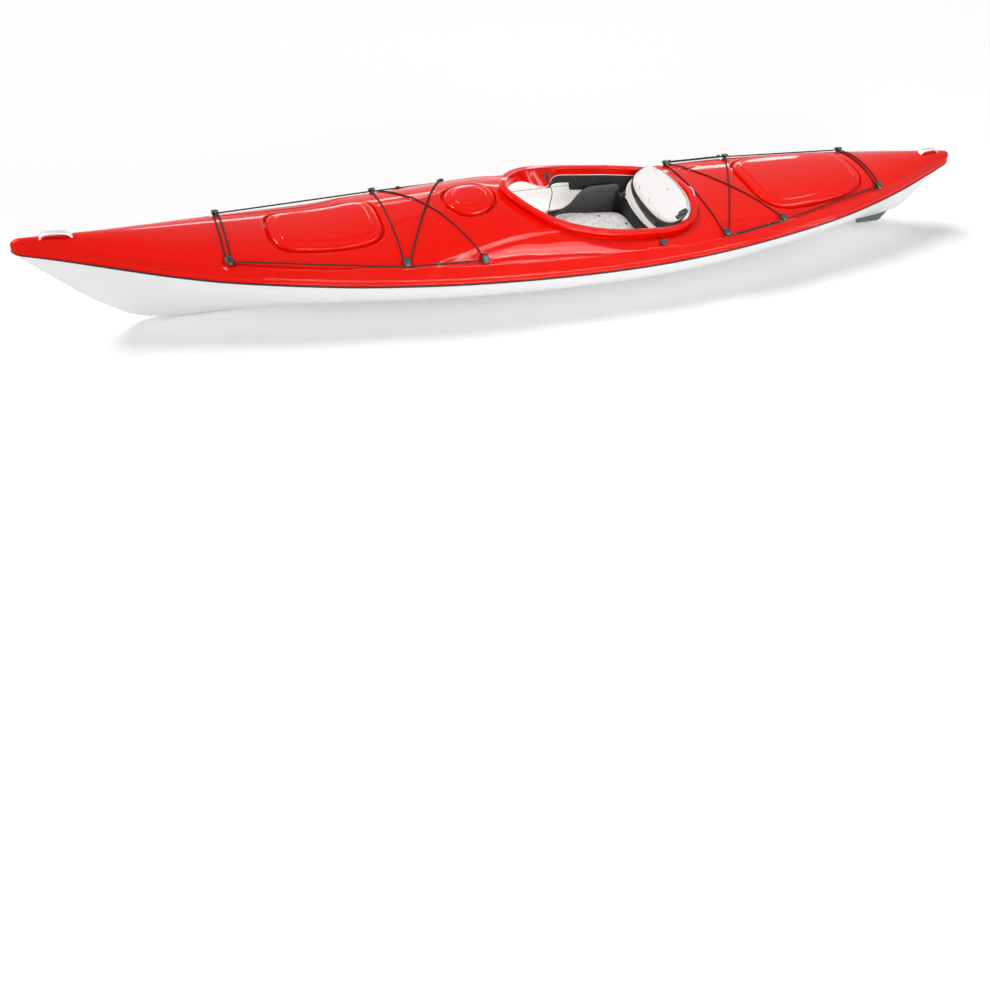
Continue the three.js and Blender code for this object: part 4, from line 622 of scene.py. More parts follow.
hatches = {
    "moatWidth": 0.016, "moatDepth": 0.017, "bulkheadGap": 0.026, "dayRadius": 0.102, "dayGap": 0.032,
    "under": 0.0061, "lidThick": 0.004, "skirt": 0.016, "skirtBulge": 0.0016, "skirtWall": 0.003,
    "lip": 0.0115, "lipDrop": 0.0048, "lipInset": 0.0004, "panelInset": 0.03, "panelSlope": 0.007,
    "panelRise": 0.0042, "panelFlat": 0.012, "coreInset": 0.02, "sharp": 50, "points": 200,
    "outlinePoints": 6000,
    # radii of the lid's corners, of which the first few are on its upper side; shares of the panel's rings
    "radii": [0.001, 0.002, 0.003, 0.004, 0.003, 0.003, 0, 0, 0.001, 0.001], "upperCorners": 7,
    "panelShares": (0.85, 0.7, 0.55, 0.4, 0.26, 0.13, 0.04, 0), "underShares": (0, 0.5, 1),
    # tray: rim past the moat, its top, the upstand's inset and wall, the depth of the floor, gap to the deck
    "trayRim": (0.0045, 0.0042), "trayTop": (-0.001, 0.0006, 0.0001), "moatEdge": 0.002, "moatFoot": 0.0042,
    "upstand": (0.0045, 0.009), "upstandTop": 0.002, "trayFloor": 0.003, "trayGap": 0.0003,
    "trayRadii": [0.0003, 0.0004, 0.006, 0.004, 0.003, 0.001, 0.001, 0.001, 0.001, 0.001],
}
hatchShapes = {
    # middle, half length, half width, corner power, taper
    "bow": (-0.2405 * hull["length"], 0.213, 0.138, 4.4, 0.09),
    "day": (cockpitFront - hatches["dayGap"] - hatches["dayRadius"], *[hatches["dayRadius"]] * 2, 2.0, 0.0),
    "stern": (0.2888 * hull["length"], 0.288, 0.2, 3.5, -0.12),
}
bowHatch, sternHatch = hatchShapes["bow"], hatchShapes["stern"]
bowBulkhead = bowHatch[0] + bowHatch[1] + hatches["moatWidth"] + hatches["bulkheadGap"]
fitting = {
    "inset": 0.03, "dimpleRadius": 0.022, "dimpleSlope": 0.008, "dimpleDepth": 0.0035,
    "dimpleReach": 0.05, "rimHeight": 0.0008, "rimOut": 0.009, "rimWidth": 0.004,
    "places": {
        "toggle": bowHatch[0] - bowHatch[1] - 0.178, "fore": bowBulkhead + 0.01,
        "mid": hatchShapes["day"][0] - 0.022, "rear": cockpitBack + 0.04,
        "aft": sternHatch[0] - sternHatch[1] + 0.051, "tail": sternHatch[0] + sternHatch[1] + 0.061,
    },
}
sides = {"port": -1, "starboard": 1}
fittingFrames = {
    f"{place}_{side}": deckFrame(x, sense * float(halfBeam(x) - fitting["inset"]))
    for place, x in fitting["places"].items() for side, sense in sides.items()
}
creases = {
    # plan lines of raised ridges on the deck: points x, y (mirrored), half width, height
    "foredeck": ([(-0.79, 0.066), (-0.69, 0.058), (-0.6, 0.064), (-0.5, 0.084), (-0.4, 0.102), (-0.3, 0.12),
                  (-0.24, 0.135)], 0.006, 0.0022),
    "flank": ([(-0.72, 0.287), (-0.6, 0.262), (-0.48, 0.242), (-0.36, 0.226), (-0.24, 0.214), (-0.1, 0.21)],
              0.011, 0.0045),
    "aft": ([(0.66, 0.2), (0.72, 0.215), (0.8, 0.225)], 0.009, 0.0025),
}
# panel between the foredeck's ridges: its height, and where its slopes begin and end
panelStep = {"height": 0.003, "fore": (-0.8, -0.74), "aft": (-0.36, -0.27), "edge": (-0.006, 0.004)}


def distanceToPath(x, y, path):
    # shortest plan distance from points to a line of straight stretches
    path = np.array(path)
    best = np.full(np.shape(x), np.inf)
    for (ax, ay), (bx, by) in zip(path[:-1], path[1:]):
        t = np.clip(((x - ax) * (bx - ax) + (y - ay) * (by - ay)) / ((bx - ax) ** 2 + (by - ay) ** 2), 0, 1)
        best = np.minimum(best, np.hypot(x - ax - t * (bx - ax), y - ay - t * (by - ay)))
    return best


def deckDetail(x, y):
    # rise of the moulded details: ridges fall off as a bell from their line; the foredeck panel steps up
    rise = np.zeros(np.shape(x))
    for path, width, height in creases.values():
        rise = rise + height * np.exp(-(distanceToPath(x, np.abs(y), path) / width) ** 2)
    edge = np.interp(x, *np.array(creases["foredeck"][0]).T)
    fade = smoothStep(x, *panelStep["fore"]) * (1 - smoothStep(x, *panelStep["aft"]))
    return rise + panelStep["height"] * fade * smoothStep(edge - np.abs(y), *panelStep["edge"])


def dented(points):
    # round dimples under the fittings: pushed in along each fitting's own direction, with a soft rim
    size, slope = fitting["dimpleRadius"], fitting["dimpleSlope"]
    for origin, _, out, _ in fittingFrames.values():
        away = points - origin
        height = away @ out
        near = np.abs(height) < fitting["dimpleReach"]
        radius = np.linalg.norm(away - height[..., None] * out, axis=-1)
        depth = (1 - smoothStep(radius, size - slope, size + slope)) * near
        fromRim = (radius - size - fitting["rimOut"]) / fitting["rimWidth"]
        rim = fitting["rimHeight"] * np.exp(-fromRim ** 2) * near
        points = points - (fitting["dimpleDepth"] * depth - rim)[..., None] * out
    return points


def stationsAlong():
    tip = hull["noseRadius"] * (1 - np.cos(np.linspace(0, np.pi / 2, hull["tipStations"])))
    reach = halfLength - hull["noseRadius"]
    even = np.linspace(-reach, reach, round(2 * reach / hull["stationStep"]) + 1)
    near = [x + np.arange(*hull["nearStations"]) for x in fitting["places"].values()]
    run = np.sort(np.concatenate([tip - halfLength, even, halfLength - tip, *near]))
    return run[np.concatenate([[True], np.diff(run) > hull["leastStep"]])]


def sectionOfDeck(x):
    # half sections: two-stepped lip, flank, then the crown; grid of stations x points, y and z
    width, low, lip = shoulder(x)
    half, bottom = halfBeam(x), seamLine(x) + hull["seamGap"] / 2
    step = np.minimum(hull["lipInset"], (half - width) / 2)
    corners = [np.stack([half - inward * step, bottom + up * lip], -1) for inward, up in hull["lipShares"]]
    corners = np.stack([*corners, np.stack([width, low], -1)], axis=1)
    side = softened(corners, np.array(hull["lipRadii"]))[:, cornerSteps:-cornerSteps - 1]
    share = np.linspace(*hull["flankShares"])[None, :, None]
    flank = corners[:, -2:-1] + (corners[:, -1:] - corners[:, -2:-1]) * share
    angle = np.linspace(0, np.pi / 2, hull["crownColumns"] + 1)
    y = width[:, None] * np.cos(angle)
    z = deckHeight(x[:, None], y) + deckDetail(x[:, None], y)
    return np.concatenate([side, flank, np.stack([y, z], -1)], axis=1)


def sectionOfHull(x, inset=0.0):
    # half sections from the keel up: across = sin(a)^(2/p), up = v * across + (1 - v) * (1 - cos(a)^(2/p))
    half = halfBeam(x)[:, None]
    full = half / (hull["beam"] / 2)
    top = (seamLine(x) - hull["seamGap"] / 2)[:, None]
    vee = hull["vEnds"] + (hull["vMiddle"] - hull["vEnds"]) * full
    power = hull["bilgeEnds"] + (hull["bilgeMiddle"] - hull["bilgeEnds"]) * full
    depth = np.maximum(hull["noseFlat"], top - np.maximum(0, keelCurve(x))[:, None])
    flat = np.minimum(hull["keelFlat"], hull["keelFlatShare"] * half)
    angle = np.linspace(0, np.pi / 2, hull["bilgeColumns"] + 1) ** hull["bilgeSpread"]
    angle = angle / angle[-1] * np.pi / 2
    across = np.sin(angle) ** (2 / power)
    up = 1 - np.maximum(0, np.cos(angle)) ** (2 / power)
    lift = inset * np.hypot(1, vee * depth / half)
    y = flat + (half - inset - flat) * across
    z = top - depth + lift + (depth - lift) * (vee * across + (1 - vee) * up)
    return np.stack([y, z], -1)


def bothSides(x, half):
    # whole sections from port to starboard through the middle: stations x points x 3
    port = np.concatenate([np.broadcast_to(x[:, None, None], half.shape[:2] + (1,)), half * (-1, 1)], -1)
    starboard = np.concatenate([port[..., :1], half], -1)
    if np.allclose(half[:, -1, 0], 0):
        return np.concatenate([port, starboard[:, -2::-1]], axis=1)
    return np.concatenate([port[:, ::-1], starboard], axis=1)


def shellSolid(outer, inner):
    # a shell open along its edge: outer and inner skins, end faces, and a rim strip that joins them
    rows, columns = outer.shape[:2]
    first, last = rows * columns, (rows - 1) * columns
    ends = [list(range(start, start + columns))[::turned]
            for start, turned in ((0, 1), (last, -1), (first, -1), (first + last, 1))]
    starts = np.arange(rows) * columns
    return twoSkins(outer, inner, np.concatenate([starts, (starts + columns - 1)[::-1]]), ends)


def deckInside(x):
    # half sections of the deck's inner skin: drawn in by the wall, and lowered by it above the lip
    half = sectionOfDeck(x)
    squeeze = np.minimum(1, 1 - hull["wall"] / np.maximum(halfBeam(x), hull["leastHalf"]))[:, None]
    seam = seamLine(x)[:, None]
    drop = hull["wall"] * smoothStep(half[..., 1], seam + hull["wallFrom"], seam + hull["wallTo"])
    return np.stack([half[..., 0] * squeeze,
                     half[..., 1] - drop - hull["extraDrop"] * (drop > hull["extraFrom"])], -1)


stations = stationsAlong()
within = stations * (halfLength - hull["innerSetback"]) / halfLength
deckOuter = dented(bothSides(stations, sectionOfDeck(stations)))
deckInner = bothSides(within, deckInside(within))
hullOuter = bothSides(stations, sectionOfHull(stations))
hullInner = bothSides(within, sectionOfHull(within, hull["wall"]))


# Outlines of the openings
def rimOutline():
    # closed curve through the shares, evenly spaced and a little smoothed
    along, across = np.array(cockpit["shares"]).T
    x = cockpitFront + along * cockpit["length"]
    y = across * cockpit["halfWidth"]
    loop = np.concatenate([[(cockpitFront, 0)], np.stack([x, y], 1), [(cockpitBack, 0)],
                           np.stack([x, -y], 1)[::-1]])
    dense = curveBetween(*(np.roll(loop, k, axis=0) for k in (1, 0, -1, -2)),
                         np.linspace(0, 1, cockpit["curveSteps"], endpoint=False))
    return evenly(eased(evenly(dense, cockpit["evenPoints"]), cockpit["ease"]), cockpit["points"])


def hatchOutline(shape, count):
    # superellipse whose half width changes along its length
    middle, length, width, power, taper = shape
    along, across = superellipse(hatches["outlinePoints"], power)
    return evenly(np.stack([middle + length * along, width * (1 + taper * along) * across], 1), count)


rimLine = rimOutline()
rimWallLine = evenly(rimLine - cockpit["rimReach"] * outwardOf(rimLine), cockpit["points"])
rimWallOut = outwardOf(rimWallLine)
hatchLines = {name: hatchOutline(shape, hatches["points"]) for name, shape in hatchShapes.items()}
# heights that the deck's cutters reach from and to
deckCut = (0.1, 0.8)


def cutter(outline, low, high):
    # upright prism over an outline, used to cut an opening
    points, faces = closedGrid(np.stack([asPoints(outline[:, 0], outline[:, 1], z) for z in (low, high)]))
    mesh = bpy.data.meshes.new("cutter")
    mesh.from_pydata(points, [], faces)
    turnedOut(mesh, merge=False)
    return placed("cutter", mesh)


def cutAway(piece, cutters):
    # opening by opening, with the cutters deleted afterwards
    for made in cutters:
        cut = piece.modifiers.new("opening", "BOOLEAN")
        cut.operation = "DIFFERENCE"
        cut.solver = "MANIFOLD"
        cut.object = made
    mesh = bpy.data.meshes.new_from_object(piece.evaluated_get(bpy.context.evaluated_depsgraph_get()))
    mesh.name = piece.name
    piece.modifiers.clear()
    piece.data = mesh
    shadeSmooth(mesh, sharpAngle)
    for made in cutters:
        bpy.data.objects.remove(made)


def paintInside(piece, outer):
    # the second half of a shell's faces are its inside, which gets the white finish that glows as painted
    # light
    piece.data.materials.append(finish["insideGlowWhite"])
    count = (outer.shape[0] - 1) * (outer.shape[1] - 1)
    which = np.zeros(len(piece.data.polygons), int)
    which[count:2 * count] = 1
    piece.data.polygons.foreach_set("material_index", which)


deck = makePiece("deck_skin", *shellSolid(deckOuter, deckInner), finish["deckRed"], slot="deck_plastic",
                 instead=["deck_shell"])
paintInside(deck, deckOuter)
openings = [cutter(rimWallLine + cockpit["openingGap"] * rimWallOut, *deckCut)]
openings += [cutter(line + hatches["moatWidth"] * outwardOf(line), *deckCut) for line in hatchLines.values()]
cutAway(deck, openings)
skeg = {
    "pivotX": halfLength - 0.471, "pivotZ": 0.122, "reach": 0.074, "length": 0.146, "ground": 0.014,
    "rake": 0.044, "thick": 0.006, "pin": 0.004, "boxWall": 0.003, "boxReach": 0.024, "boxLength": 0.308,
    "boxTop": 0.226, "slot": 0.009, "slotRadius": 0.004, "below": -0.02, "edge": 0.0024, "points": 220,
    "radii": [0.006, 0.009, 0.009, 0.014, 0.012, 0.006],
    # recess ahead of the slot: length and breadth as multiples of the slot's half width, its gap and radius
    "recessLength": 6.6, "recessBreadth": 2.2, "recessGap": 0.0003, "recessRadius": 0.002,
}
slotFront = skeg["pivotX"] + 2 * skeg["boxWall"] + 5 * skeg["pin"]
slotBack = skeg["pivotX"] - skeg["boxReach"] + skeg["boxLength"] - skeg["boxWall"]
slotHalf = skeg["slot"] / 2
waist = skeg["recessLength"] * slotHalf
bottom = makePiece("hull_skin", *shellSolid(hullOuter, hullInner), finish["hullWhite"], slot="hull_plastic",
                   instead=["hull_shell"])
paintInside(bottom, hullOuter)
slotLine = softened(np.array([(slotFront, -slotHalf), (slotBack, -slotHalf), (slotBack, slotHalf),
                              (slotFront, slotHalf)]), skeg["slotRadius"])
recessHalf = [(slotFront + skeg["recessGap"], slotHalf), (slotFront - waist / 2, slotHalf / 2),
              (slotFront - waist, skeg["recessBreadth"] * slotHalf)]
recessLine = softened(np.array([(x, -y) for x, y in recessHalf[:1]] + recessHalf
                               + [(x, -y) for x, y in recessHalf[:0:-1]]), skeg["recessRadius"])
cutAway(bottom, [cutter(slotLine, skeg["below"], skeg["boxTop"]),
                 cutter(recessLine, skeg["below"], float(keelCurve(slotFront - waist)) + hull["wall"])])
print("hull and deck:", len(deck.data.polygons), len(bottom.data.polygons))


# Seam strip
strip = {
    "thick": 0.0026, "height": 0.0078, "web": 0.002, "webReach": 0.004, "gap": 0.0004,
    "tipShare": 0.45, "tipReach": 0.35, "radii": [0, 0, 0.0005, 0.0013, 0.0013, 0.0005, 0, 0],
}


def seamStrip():
    # T section carried round the joint line of the two shells, thinner towards the tips
    x = stationsAlong()
    loop = np.concatenate([np.stack([x, -halfBeam(x)], 1), np.stack([x, halfBeam(x)], 1)[::-1]])
    web, half, gap = strip["web"] / 2, strip["height"] / 2, strip["gap"]
    lower = [(-strip["webReach"], -web), (gap, -web), (gap, -half), (gap + strip["thick"], -half)]
    section = softened(np.array(lower + [(out, -up) for out, up in lower[::-1]]), np.array(strip["radii"]), 2)
    plan = loop[:, None] + outwardOf(loop)[:, None] * section[None, :, :1]
    fromTip = smoothStep(halfLength - np.abs(loop[:, 0]), 0, strip["tipReach"])
    taper = strip["tipShare"] + (1 - strip["tipShare"]) * fromTip
    level = seamLine(plan[..., 0]) + section[None, :, 1] * taper[:, None]
    return loopedGrid(np.concatenate([plan, level[..., None]], -1))


makePiece("seam_trim", *seamStrip(), finish["trimBlack"], slot="trim_rubber", instead=["seam_strip"])


# Cockpit coaming
def apronAt(points):
    # reach inward and depth of the apron: a bell round the thigh braces, and deeper at the front
    x, y = points[:, 0], points[:, 1]
    brace = (np.exp(-((x - bracePlace) / cockpit["braceLength"]) ** 2)
             * np.minimum(1, np.abs(y) / cockpit["braceReach"]))
    fore = np.clip((bracePlace - x) / cockpit["braceLength"], 0, 1)
    inward = cockpit["rimWall"] / 2 + cockpit["braceReach"] * brace
    depth = cockpit["apronDepth"] + cockpit["frontExtra"] * fore + cockpit["braceDrop"] * brace
    return inward, depth


def coamingRings():
    # section from the lip's lower edge over the rim and down the apron, then back up its outer side
    wall, reach, flange, sunk = (cockpit[key] for key in ("rimWall", "rimReach", "flange", "sunk"))
    inward, depth = apronAt(rimWallLine)
    base = deckHeight(*rimWallLine.T)
    footZ = deckHeight(*(rimWallLine + rimWallOut * flange).T)
    top = base + cockpit["rimHeight"]
    lip = top - cockpit["rimDrop"]
    corners = np.stack([asPoints(*corner) for corner in (
        (reach, lip), (reach, top - 0.8 * wall), (reach - wall, top), (-wall / 2, top), (-wall, top - wall),
        (-wall - inward, top - depth), (-inward, top - depth - wall / 2), (0, base - 2 * wall),
        (0, base - sunk), (flange - sunk, footZ - sunk), (flange, footZ + cockpit["toe"]),
        (wall / 2 + sunk, base + 2 * sunk),
        (wall / 2, top - wall), (reach - wall, top - wall), (reach - wall, lip))], axis=1)
    section = softened(corners, np.array(cockpit["radii"]), 4)
    plan = rimWallLine[:, None] + rimWallOut[:, None] * section[..., :1]
    return np.concatenate([plan, section[..., 1:]], -1), corners


coaming, coamingCorners = coamingRings()
makePiece("coaming", *loopedGrid(coaming), finish["deckRed"], slot="deck_plastic",
          instead=["cockpit_coaming"])
# bead round the apron's lower edge, between its inner and its outer corner
edgeMiddle = coamingCorners[:, 5:7].mean(axis=1)
edgePath = np.column_stack([rimWallLine + rimWallOut * edgeMiddle[:, :1], edgeMiddle[:, 1]])
makePiece("apron_edge", *tubeAlong(edgePath, cockpit["edgeRadius"], closed=True), finish["hullWhite"],
          slot="hull_plastic")
print("coaming made")


# Hatches
def overDeck(outline, profile):
    # rings round an outline over the deck, each at its own distance outward and height
    out = outwardOf(outline)
    plan = outline[:, None] + out[:, None] * profile[None, :, :1]
    level = deckHeight(plan[..., 0], plan[..., 1]) + profile[None, :, 1]
    return np.concatenate([plan, level[..., None]], -1)


def hatchLid(outline, middle):
    # lid skin: skirt, rounded lip, sloped shoulder and raised panel, each level a ring at its own inset
    size = hatches
    under, skirt, inset = size["under"], size["skirt"], size["panelInset"]
    top = under + size["lidThick"]
    panel = top + size["panelRise"]
    profile = softened(np.array([
        (0, under - skirt), (-size["skirtBulge"], under - skirt / 2),
        (size["lipInset"], top - size["lipDrop"]), (size["lip"], top), (inset, top),
        (inset + size["panelSlope"], panel), (inset + size["panelFlat"], panel), (size["coreInset"], under),
        (size["skirtWall"], under), (size["skirtWall"], under - skirt)]),
        np.array(size["radii"]))
    out = outwardOf(outline)
    core = outline - out * (inset + size["panelFlat"])
    split = size["upperCorners"] * (cornerSteps + 1)
    towardsMiddle = [(share, panel) for share in size["panelShares"]]
    towardsMiddle += [(share, under) for share in size["underShares"]]
    rings = [(outline - out * away, height) for away, height in profile[:split]]
    rings += [((middle, 0) + (core - (middle, 0)) * share, height) for share, height in towardsMiddle]
    rings += [(outline - out * away, height) for away, height in profile[split:]]
    return loopedGrid(np.stack([asPoints(*plan.T, deckHeight(*plan.T) + height) for plan, height in rings]))


def hatchTray(outline):
    # rim on the deck, moat wall and floor, upstand, and back along the underside
    width, depth = hatches["moatWidth"], hatches["moatDepth"]
    (rimOut, rimIn), (low, high, inner) = hatches["trayRim"], hatches["trayTop"]
    near, far = hatches["upstand"]
    top, side, floor = hatches["upstandTop"], width - hatches["trayGap"], depth + hatches["trayFloor"]
    section = [(width + rimOut, low), (width + rimIn, high), (width - hatches["moatEdge"], inner),
               (width - hatches["moatFoot"], -depth), (-near, -depth), (-near, top), (-far, top),
               (-far, -floor), (side, -floor), (side, -hatches["trayFloor"])]
    return loopedGrid(overDeck(outline, softened(np.array(section), np.array(hatches["trayRadii"]))))


for name, shape in hatchShapes.items():
    makePiece(f"{name}_hatch_tray", *hatchTray(hatchLines[name]), finish["deckRed"], slot="deck_plastic",
              instead=[f"{name}_hatch_rim"])
    makePiece(f"{name}_hatch_cover", *hatchLid(hatchLines[name], shape[0]), finish["deckRed"], f"{name}_lid",
              "deck_plastic", [f"{name}_hatch_lid"], hatches["sharp"])
print("hatches made")


# Deck fittings
dip = -fitting["dimpleDepth"]
cap = {
    "half": (0.0195, 0.0145), "foot": 0.0105, "thick": 0.0105, "power": 2.8, "post": 0.007, "around": 40,
    # rings from below: share of the plan and height, then a quarter wave up to the closing rings
    "under": [(0.25, 0), (0.9, 0), (0.97, 0.0006)], "rings": 8, "shoulder": 0.0025, "risePower": 1.1,
    "shrink": 0.62, "shrinkPower": 1.4, "top": [0.2, 0.05],
    # washer and post: radius and height
    "profile": [(0.0006, dip), (0.012, dip), (0.01224, dip + 0.003), (0.01104, 0.0022), (0.0096, 0.0028),
                (0.007, 0.0034), (0.00658, 0.007), (0.007, 0.0109), (0.0006, 0.0109)],
    "sides": 28,
}
cord = {
    "radius": 0.003, "height": 0.0072, "deckGap": 0.0003, "gap": 0.0004, "sides": 12, "turnStep": 15,
    "step": 0.006, "slopeReach": 0.01, "crossSpread": 2.5,
}
wrapRadius = cap["post"] + cord["deckGap"] + cord["radius"]
cordApart = 2 * cord["radius"] + cord["gap"]


def capRings(place):
    # rounded block: superellipse rings that shrink towards the top along a quarter wave, dished below
    origin, across, out, along = place
    waves = superellipse(cap["around"], cap["power"])
    first, second = (wave[:, None] * half for wave, half in zip(waves, cap["half"]))
    bend = np.linspace(0, np.pi / 2, cap["rings"], endpoint=False)
    shares, heights = np.array(cap["under"]).T
    rise = cap["shoulder"] + (cap["thick"] - cap["shoulder"]) * np.sin(bend) ** cap["risePower"]
    shrunk = 1 - cap["shrink"] * (1 - np.cos(bend)) ** cap["shrinkPower"]
    scale = np.concatenate([shares, shrunk, cap["top"]])[:, None, None]
    height = cap["foot"] + np.concatenate([heights, rise, [cap["thick"]] * len(cap["top"])])[:, None, None]
    return closedGrid(origin + scale * (first * across + second * along) + height * out)


for key, place in fittingFrames.items():
    makePiece(f"fitting_{key}", *join([latheAt(cap["profile"], place, cap["sides"]), capRings(place)]),
              finish["fittingGrey"], slot="fitting_plastic", instead=[f"deck_fitting_{key}"])


# Deck lines
def besidePost(key, degrees, radius=wrapRadius):
    # point beside a post: the angle turns from the stern towards starboard
    origin, across, out, along = fittingFrames[key]
    angle = radians(degrees)
    return origin + out * cord["height"] + along * np.cos(angle) * radius + across * np.sin(angle) * radius


def wrapPost(key, start, stop):
    turns = np.linspace(start, stop, max(3, int(abs(stop - start) / cord["turnStep"])))
    return np.array([besidePost(key, turn) for turn in turns])


def restHeight(x, y):
    # height of a line's middle where it lies on the deck
    slopeX, slopeY = deckSlopes(x, y, cord["slopeReach"])
    lift = (cord["radius"] + cord["deckGap"]) * np.sqrt(1 + slopeX**2 + slopeY**2)
    return deckHeight(x, y) + deckDetail(x, y) + lift


def tautLine(start, end, crossing=None):
    # stretched line: the upper hull of its least heights over the deck, between two held ends
    count = max(8, int(np.linalg.norm(end - start) / cord["step"]))
    share = np.linspace(0, 1, count + 1)
    plan = start[:2] + (end - start)[:2] * share[:, None]
    height = restHeight(plan[:, 0], plan[:, 1])
    if crossing is not None:
        height = height + cordApart * np.exp(-((share - crossing) * count / cord["crossSpread"]) ** 2)
    height[0], height[-1] = start[2], end[2]
    kept = [0]
    while kept[-1] < count:
        here = kept[-1]
        slope = (height[here + 1:] - height[here]) / (share[here + 1:] - share[here])
        kept.append(here + 1 + int(np.flatnonzero(slope >= slope.max() - tiny)[-1]))
    return np.column_stack([plan, np.interp(share, share[kept], height[kept])])[1:-1]


def makeLine(name, path, instead=(), closed=False, radius=cord["radius"], guide=(0, 0, 1)):
    # its map: metres along the line and share of a turn round it
    sides = cord["sides"]
    path = np.asarray(path, float)
    run = runAlong(np.vstack([path, path[:1]]) if closed else path)
    grid = gridCoordinates(len(path), sides, closed, True)
    corners = np.column_stack([run[grid[:, 0].astype(int)], grid[:, 1] / sides])
    return makePiece(name, *tubeAlong(path, radius, sides, closed, guide), finish["cordBlack"], slot="cord",
                     instead=instead, corners=corners)


def crossLine(place):
    port, starboard = wrapPost(f"{place}_port", 0, -180), wrapPost(f"{place}_starboard", 180, 0)
    return np.vstack([port, tautLine(port[-1], starboard[0]), starboard, tautLine(starboard[-1], port[0])])


def netLine(fore, aft):
    aftPort, foreStarboard = fittingFrames[f"{aft}_port"][0], fittingFrames[f"{fore}_starboard"][0]
    heading = np.degrees(np.arctan2(foreStarboard[1] - aftPort[1], foreStarboard[0] - aftPort[0]))
    start, end = besidePost(f"{aft}_port", heading), besidePost(f"{aft}_starboard", -heading)
    first = wrapPost(f"{fore}_starboard", heading - 90, 180)
    second = wrapPost(f"{fore}_port", -180, 90 - heading)
    crossing = -second[-1][1] / (end[1] - second[-1][1])
    return np.vstack([[start], tautLine(start, first[0]), first, tautLine(first[-1], second[0]), second,
                      tautLine(second[-1], end, crossing), [end]])


def sideLine(stops, side, sense):
    points = [besidePost(f"{place}_{side}", sense * turn, wrapRadius + extra) for place, turn, extra in stops]
    route = [points[0][None]]
    for a, b in zip(points[:-1], points[1:]):
        route += [tautLine(a, b), b[None]]
    return np.vstack(route)


makeLine("bow_cross_cord", crossLine("toggle"), ["bow_cross_line"], True)
makeLine("stern_cross_cord", crossLine("tail"), ["stern_cross_line"], True)
makeLine("bow_net_cord", netLine("fore", "mid"), ["bow_net_line"])
makeLine("stern_net_cord", netLine("rear", "aft"), ["stern_net_line"])
endGap = cord["radius"] + cord["gap"]
sidePaths = {}
for side, sense in sides.items():
    for end, stops in (("bow", (("toggle", 8, endGap), ("fore", 90, cordApart), ("mid", 172, 0))),
                       ("stern", (("rear", 90, cordApart), ("aft", 90, 0), ("tail", 172, endGap)))):
        sidePaths[f"{end}_{side}"] = sideLine(stops, side, sense)
        makeLine(f"{end}_side_cord_{side}", sidePaths[f"{end}_{side}"], [f"{end}_side_line_{side}"])
knot = {
    "radius": 0.0058, "half": 0.0095, "places": [("bow", -0.645), ("stern", 0.905)], "endGap": 0.024,
    "near": 0.01, "leftOut": 0.06, "rings": 13, "sides": 18,
}


def knotAt(path, x):
    # rounded knot on a line: its radius follows half a circle along the line
    before, here, after = (path[np.argmin(np.abs(path[:, 0] - x - reach))]
                           for reach in (-knot["near"], 0, knot["near"]))
    ahead = unit(after - before)
    aside = unit(np.cross((0.0, 0, 1), ahead))
    most = np.pi / 2 - knot["leftOut"]
    turn = np.linspace(-most, most, knot["rings"])
    profile = np.stack([knot["radius"] * np.cos(turn), knot["half"] * np.sin(turn)], 1)
    lifted = here + (0, 0, knot["radius"] - cord["radius"])
    return latheAt(profile, (lifted, aside, ahead, np.cross(aside, ahead)), knot["sides"])


def secondStrand(side):
    # the line's free end is laid back along it from the fourth fitting to the fifth
    path = sidePaths[f"stern_{side}"]
    low = fittingFrames[f"rear_{side}"][0][0] + knot["endGap"]
    high = fittingFrames[f"aft_{side}"][0][0] - knot["endGap"]
    strand = path[(path[:, 0] > low) & (path[:, 0] < high)] + (0, sides[side] * cordApart, 0)
    strand[:, 2] = np.maximum(strand[:, 2], restHeight(strand[:, 0], strand[:, 1]))
    return strand


for side in sides:
    strand = secondStrand(side)
    makeLine(f"stern_strand_{side}", strand)
    parts = [knotAt(sidePaths[f"{end}_{side}"], x) for end, x in knot["places"]]
    parts += [knotAt(strand, x) for x in strand[[0, -1], 0]]
    makePiece(f"line_knots_{side}", *join(parts), finish["trimBlack"], slot="cord")
print("fittings and lines made")


# Seat pan, its lining and the cushion
seat = {
    "backPivotX": cockpitBack - 0.244, "backPivotZ": 0.212, "length": 0.37, "tail": 0.028, "frontRise": 0.032,
    "halfWidth": 0.236, "base": 0.062, "wall": 0.004, "wing": 0.176, "wingTop": 0.171, "rows": 64,
    # low rim: its share of the wing at the front, its growth and where that ends; then the step to the ears
    "lowRim": (0.2, 0.4, 0.72), "earStep": (0.64, 0.86), "rim": 0.004, "rimFall": 0.4,
    "radii": [0, 0.02, 0.006, 0], "radiusSteps": 6, "floorColumns": 14,
    "bearerOffset": 0.092, "bearerWidth": 0.04, "bearerGap": 0.0004, "bearerTop": 0.001,
    "bearerRadius": 0.003, "bearerRings": 16, "lining": 0.003, "liningEnds": (0.012, 0.001),
    "liningGaps": (0.0003, 0.0016), "liningDrop": 0.006,
}
seatBack = seat["backPivotX"] + seat["tail"]
seatFront = seatBack - seat["length"]
wingStart = seat["halfWidth"] - 3 * seat["wall"]


def panShare(x):
    return np.clip((x - seatFront) / seat["length"], 0, 1)


def panBase(x):
    return seat["base"] + seat["frontRise"] * (1 - panShare(x)) ** 2


def wingHeight(x):
    # low rim at the front, tall ears beside the backrest, with a smooth step between them
    first, growth, last = seat["lowRim"]
    low = seat["wing"] * (first + growth * np.minimum(panShare(x), last))
    return low + (seat["wingTop"] - low) * smoothStep(panShare(x), *seat["earStep"])


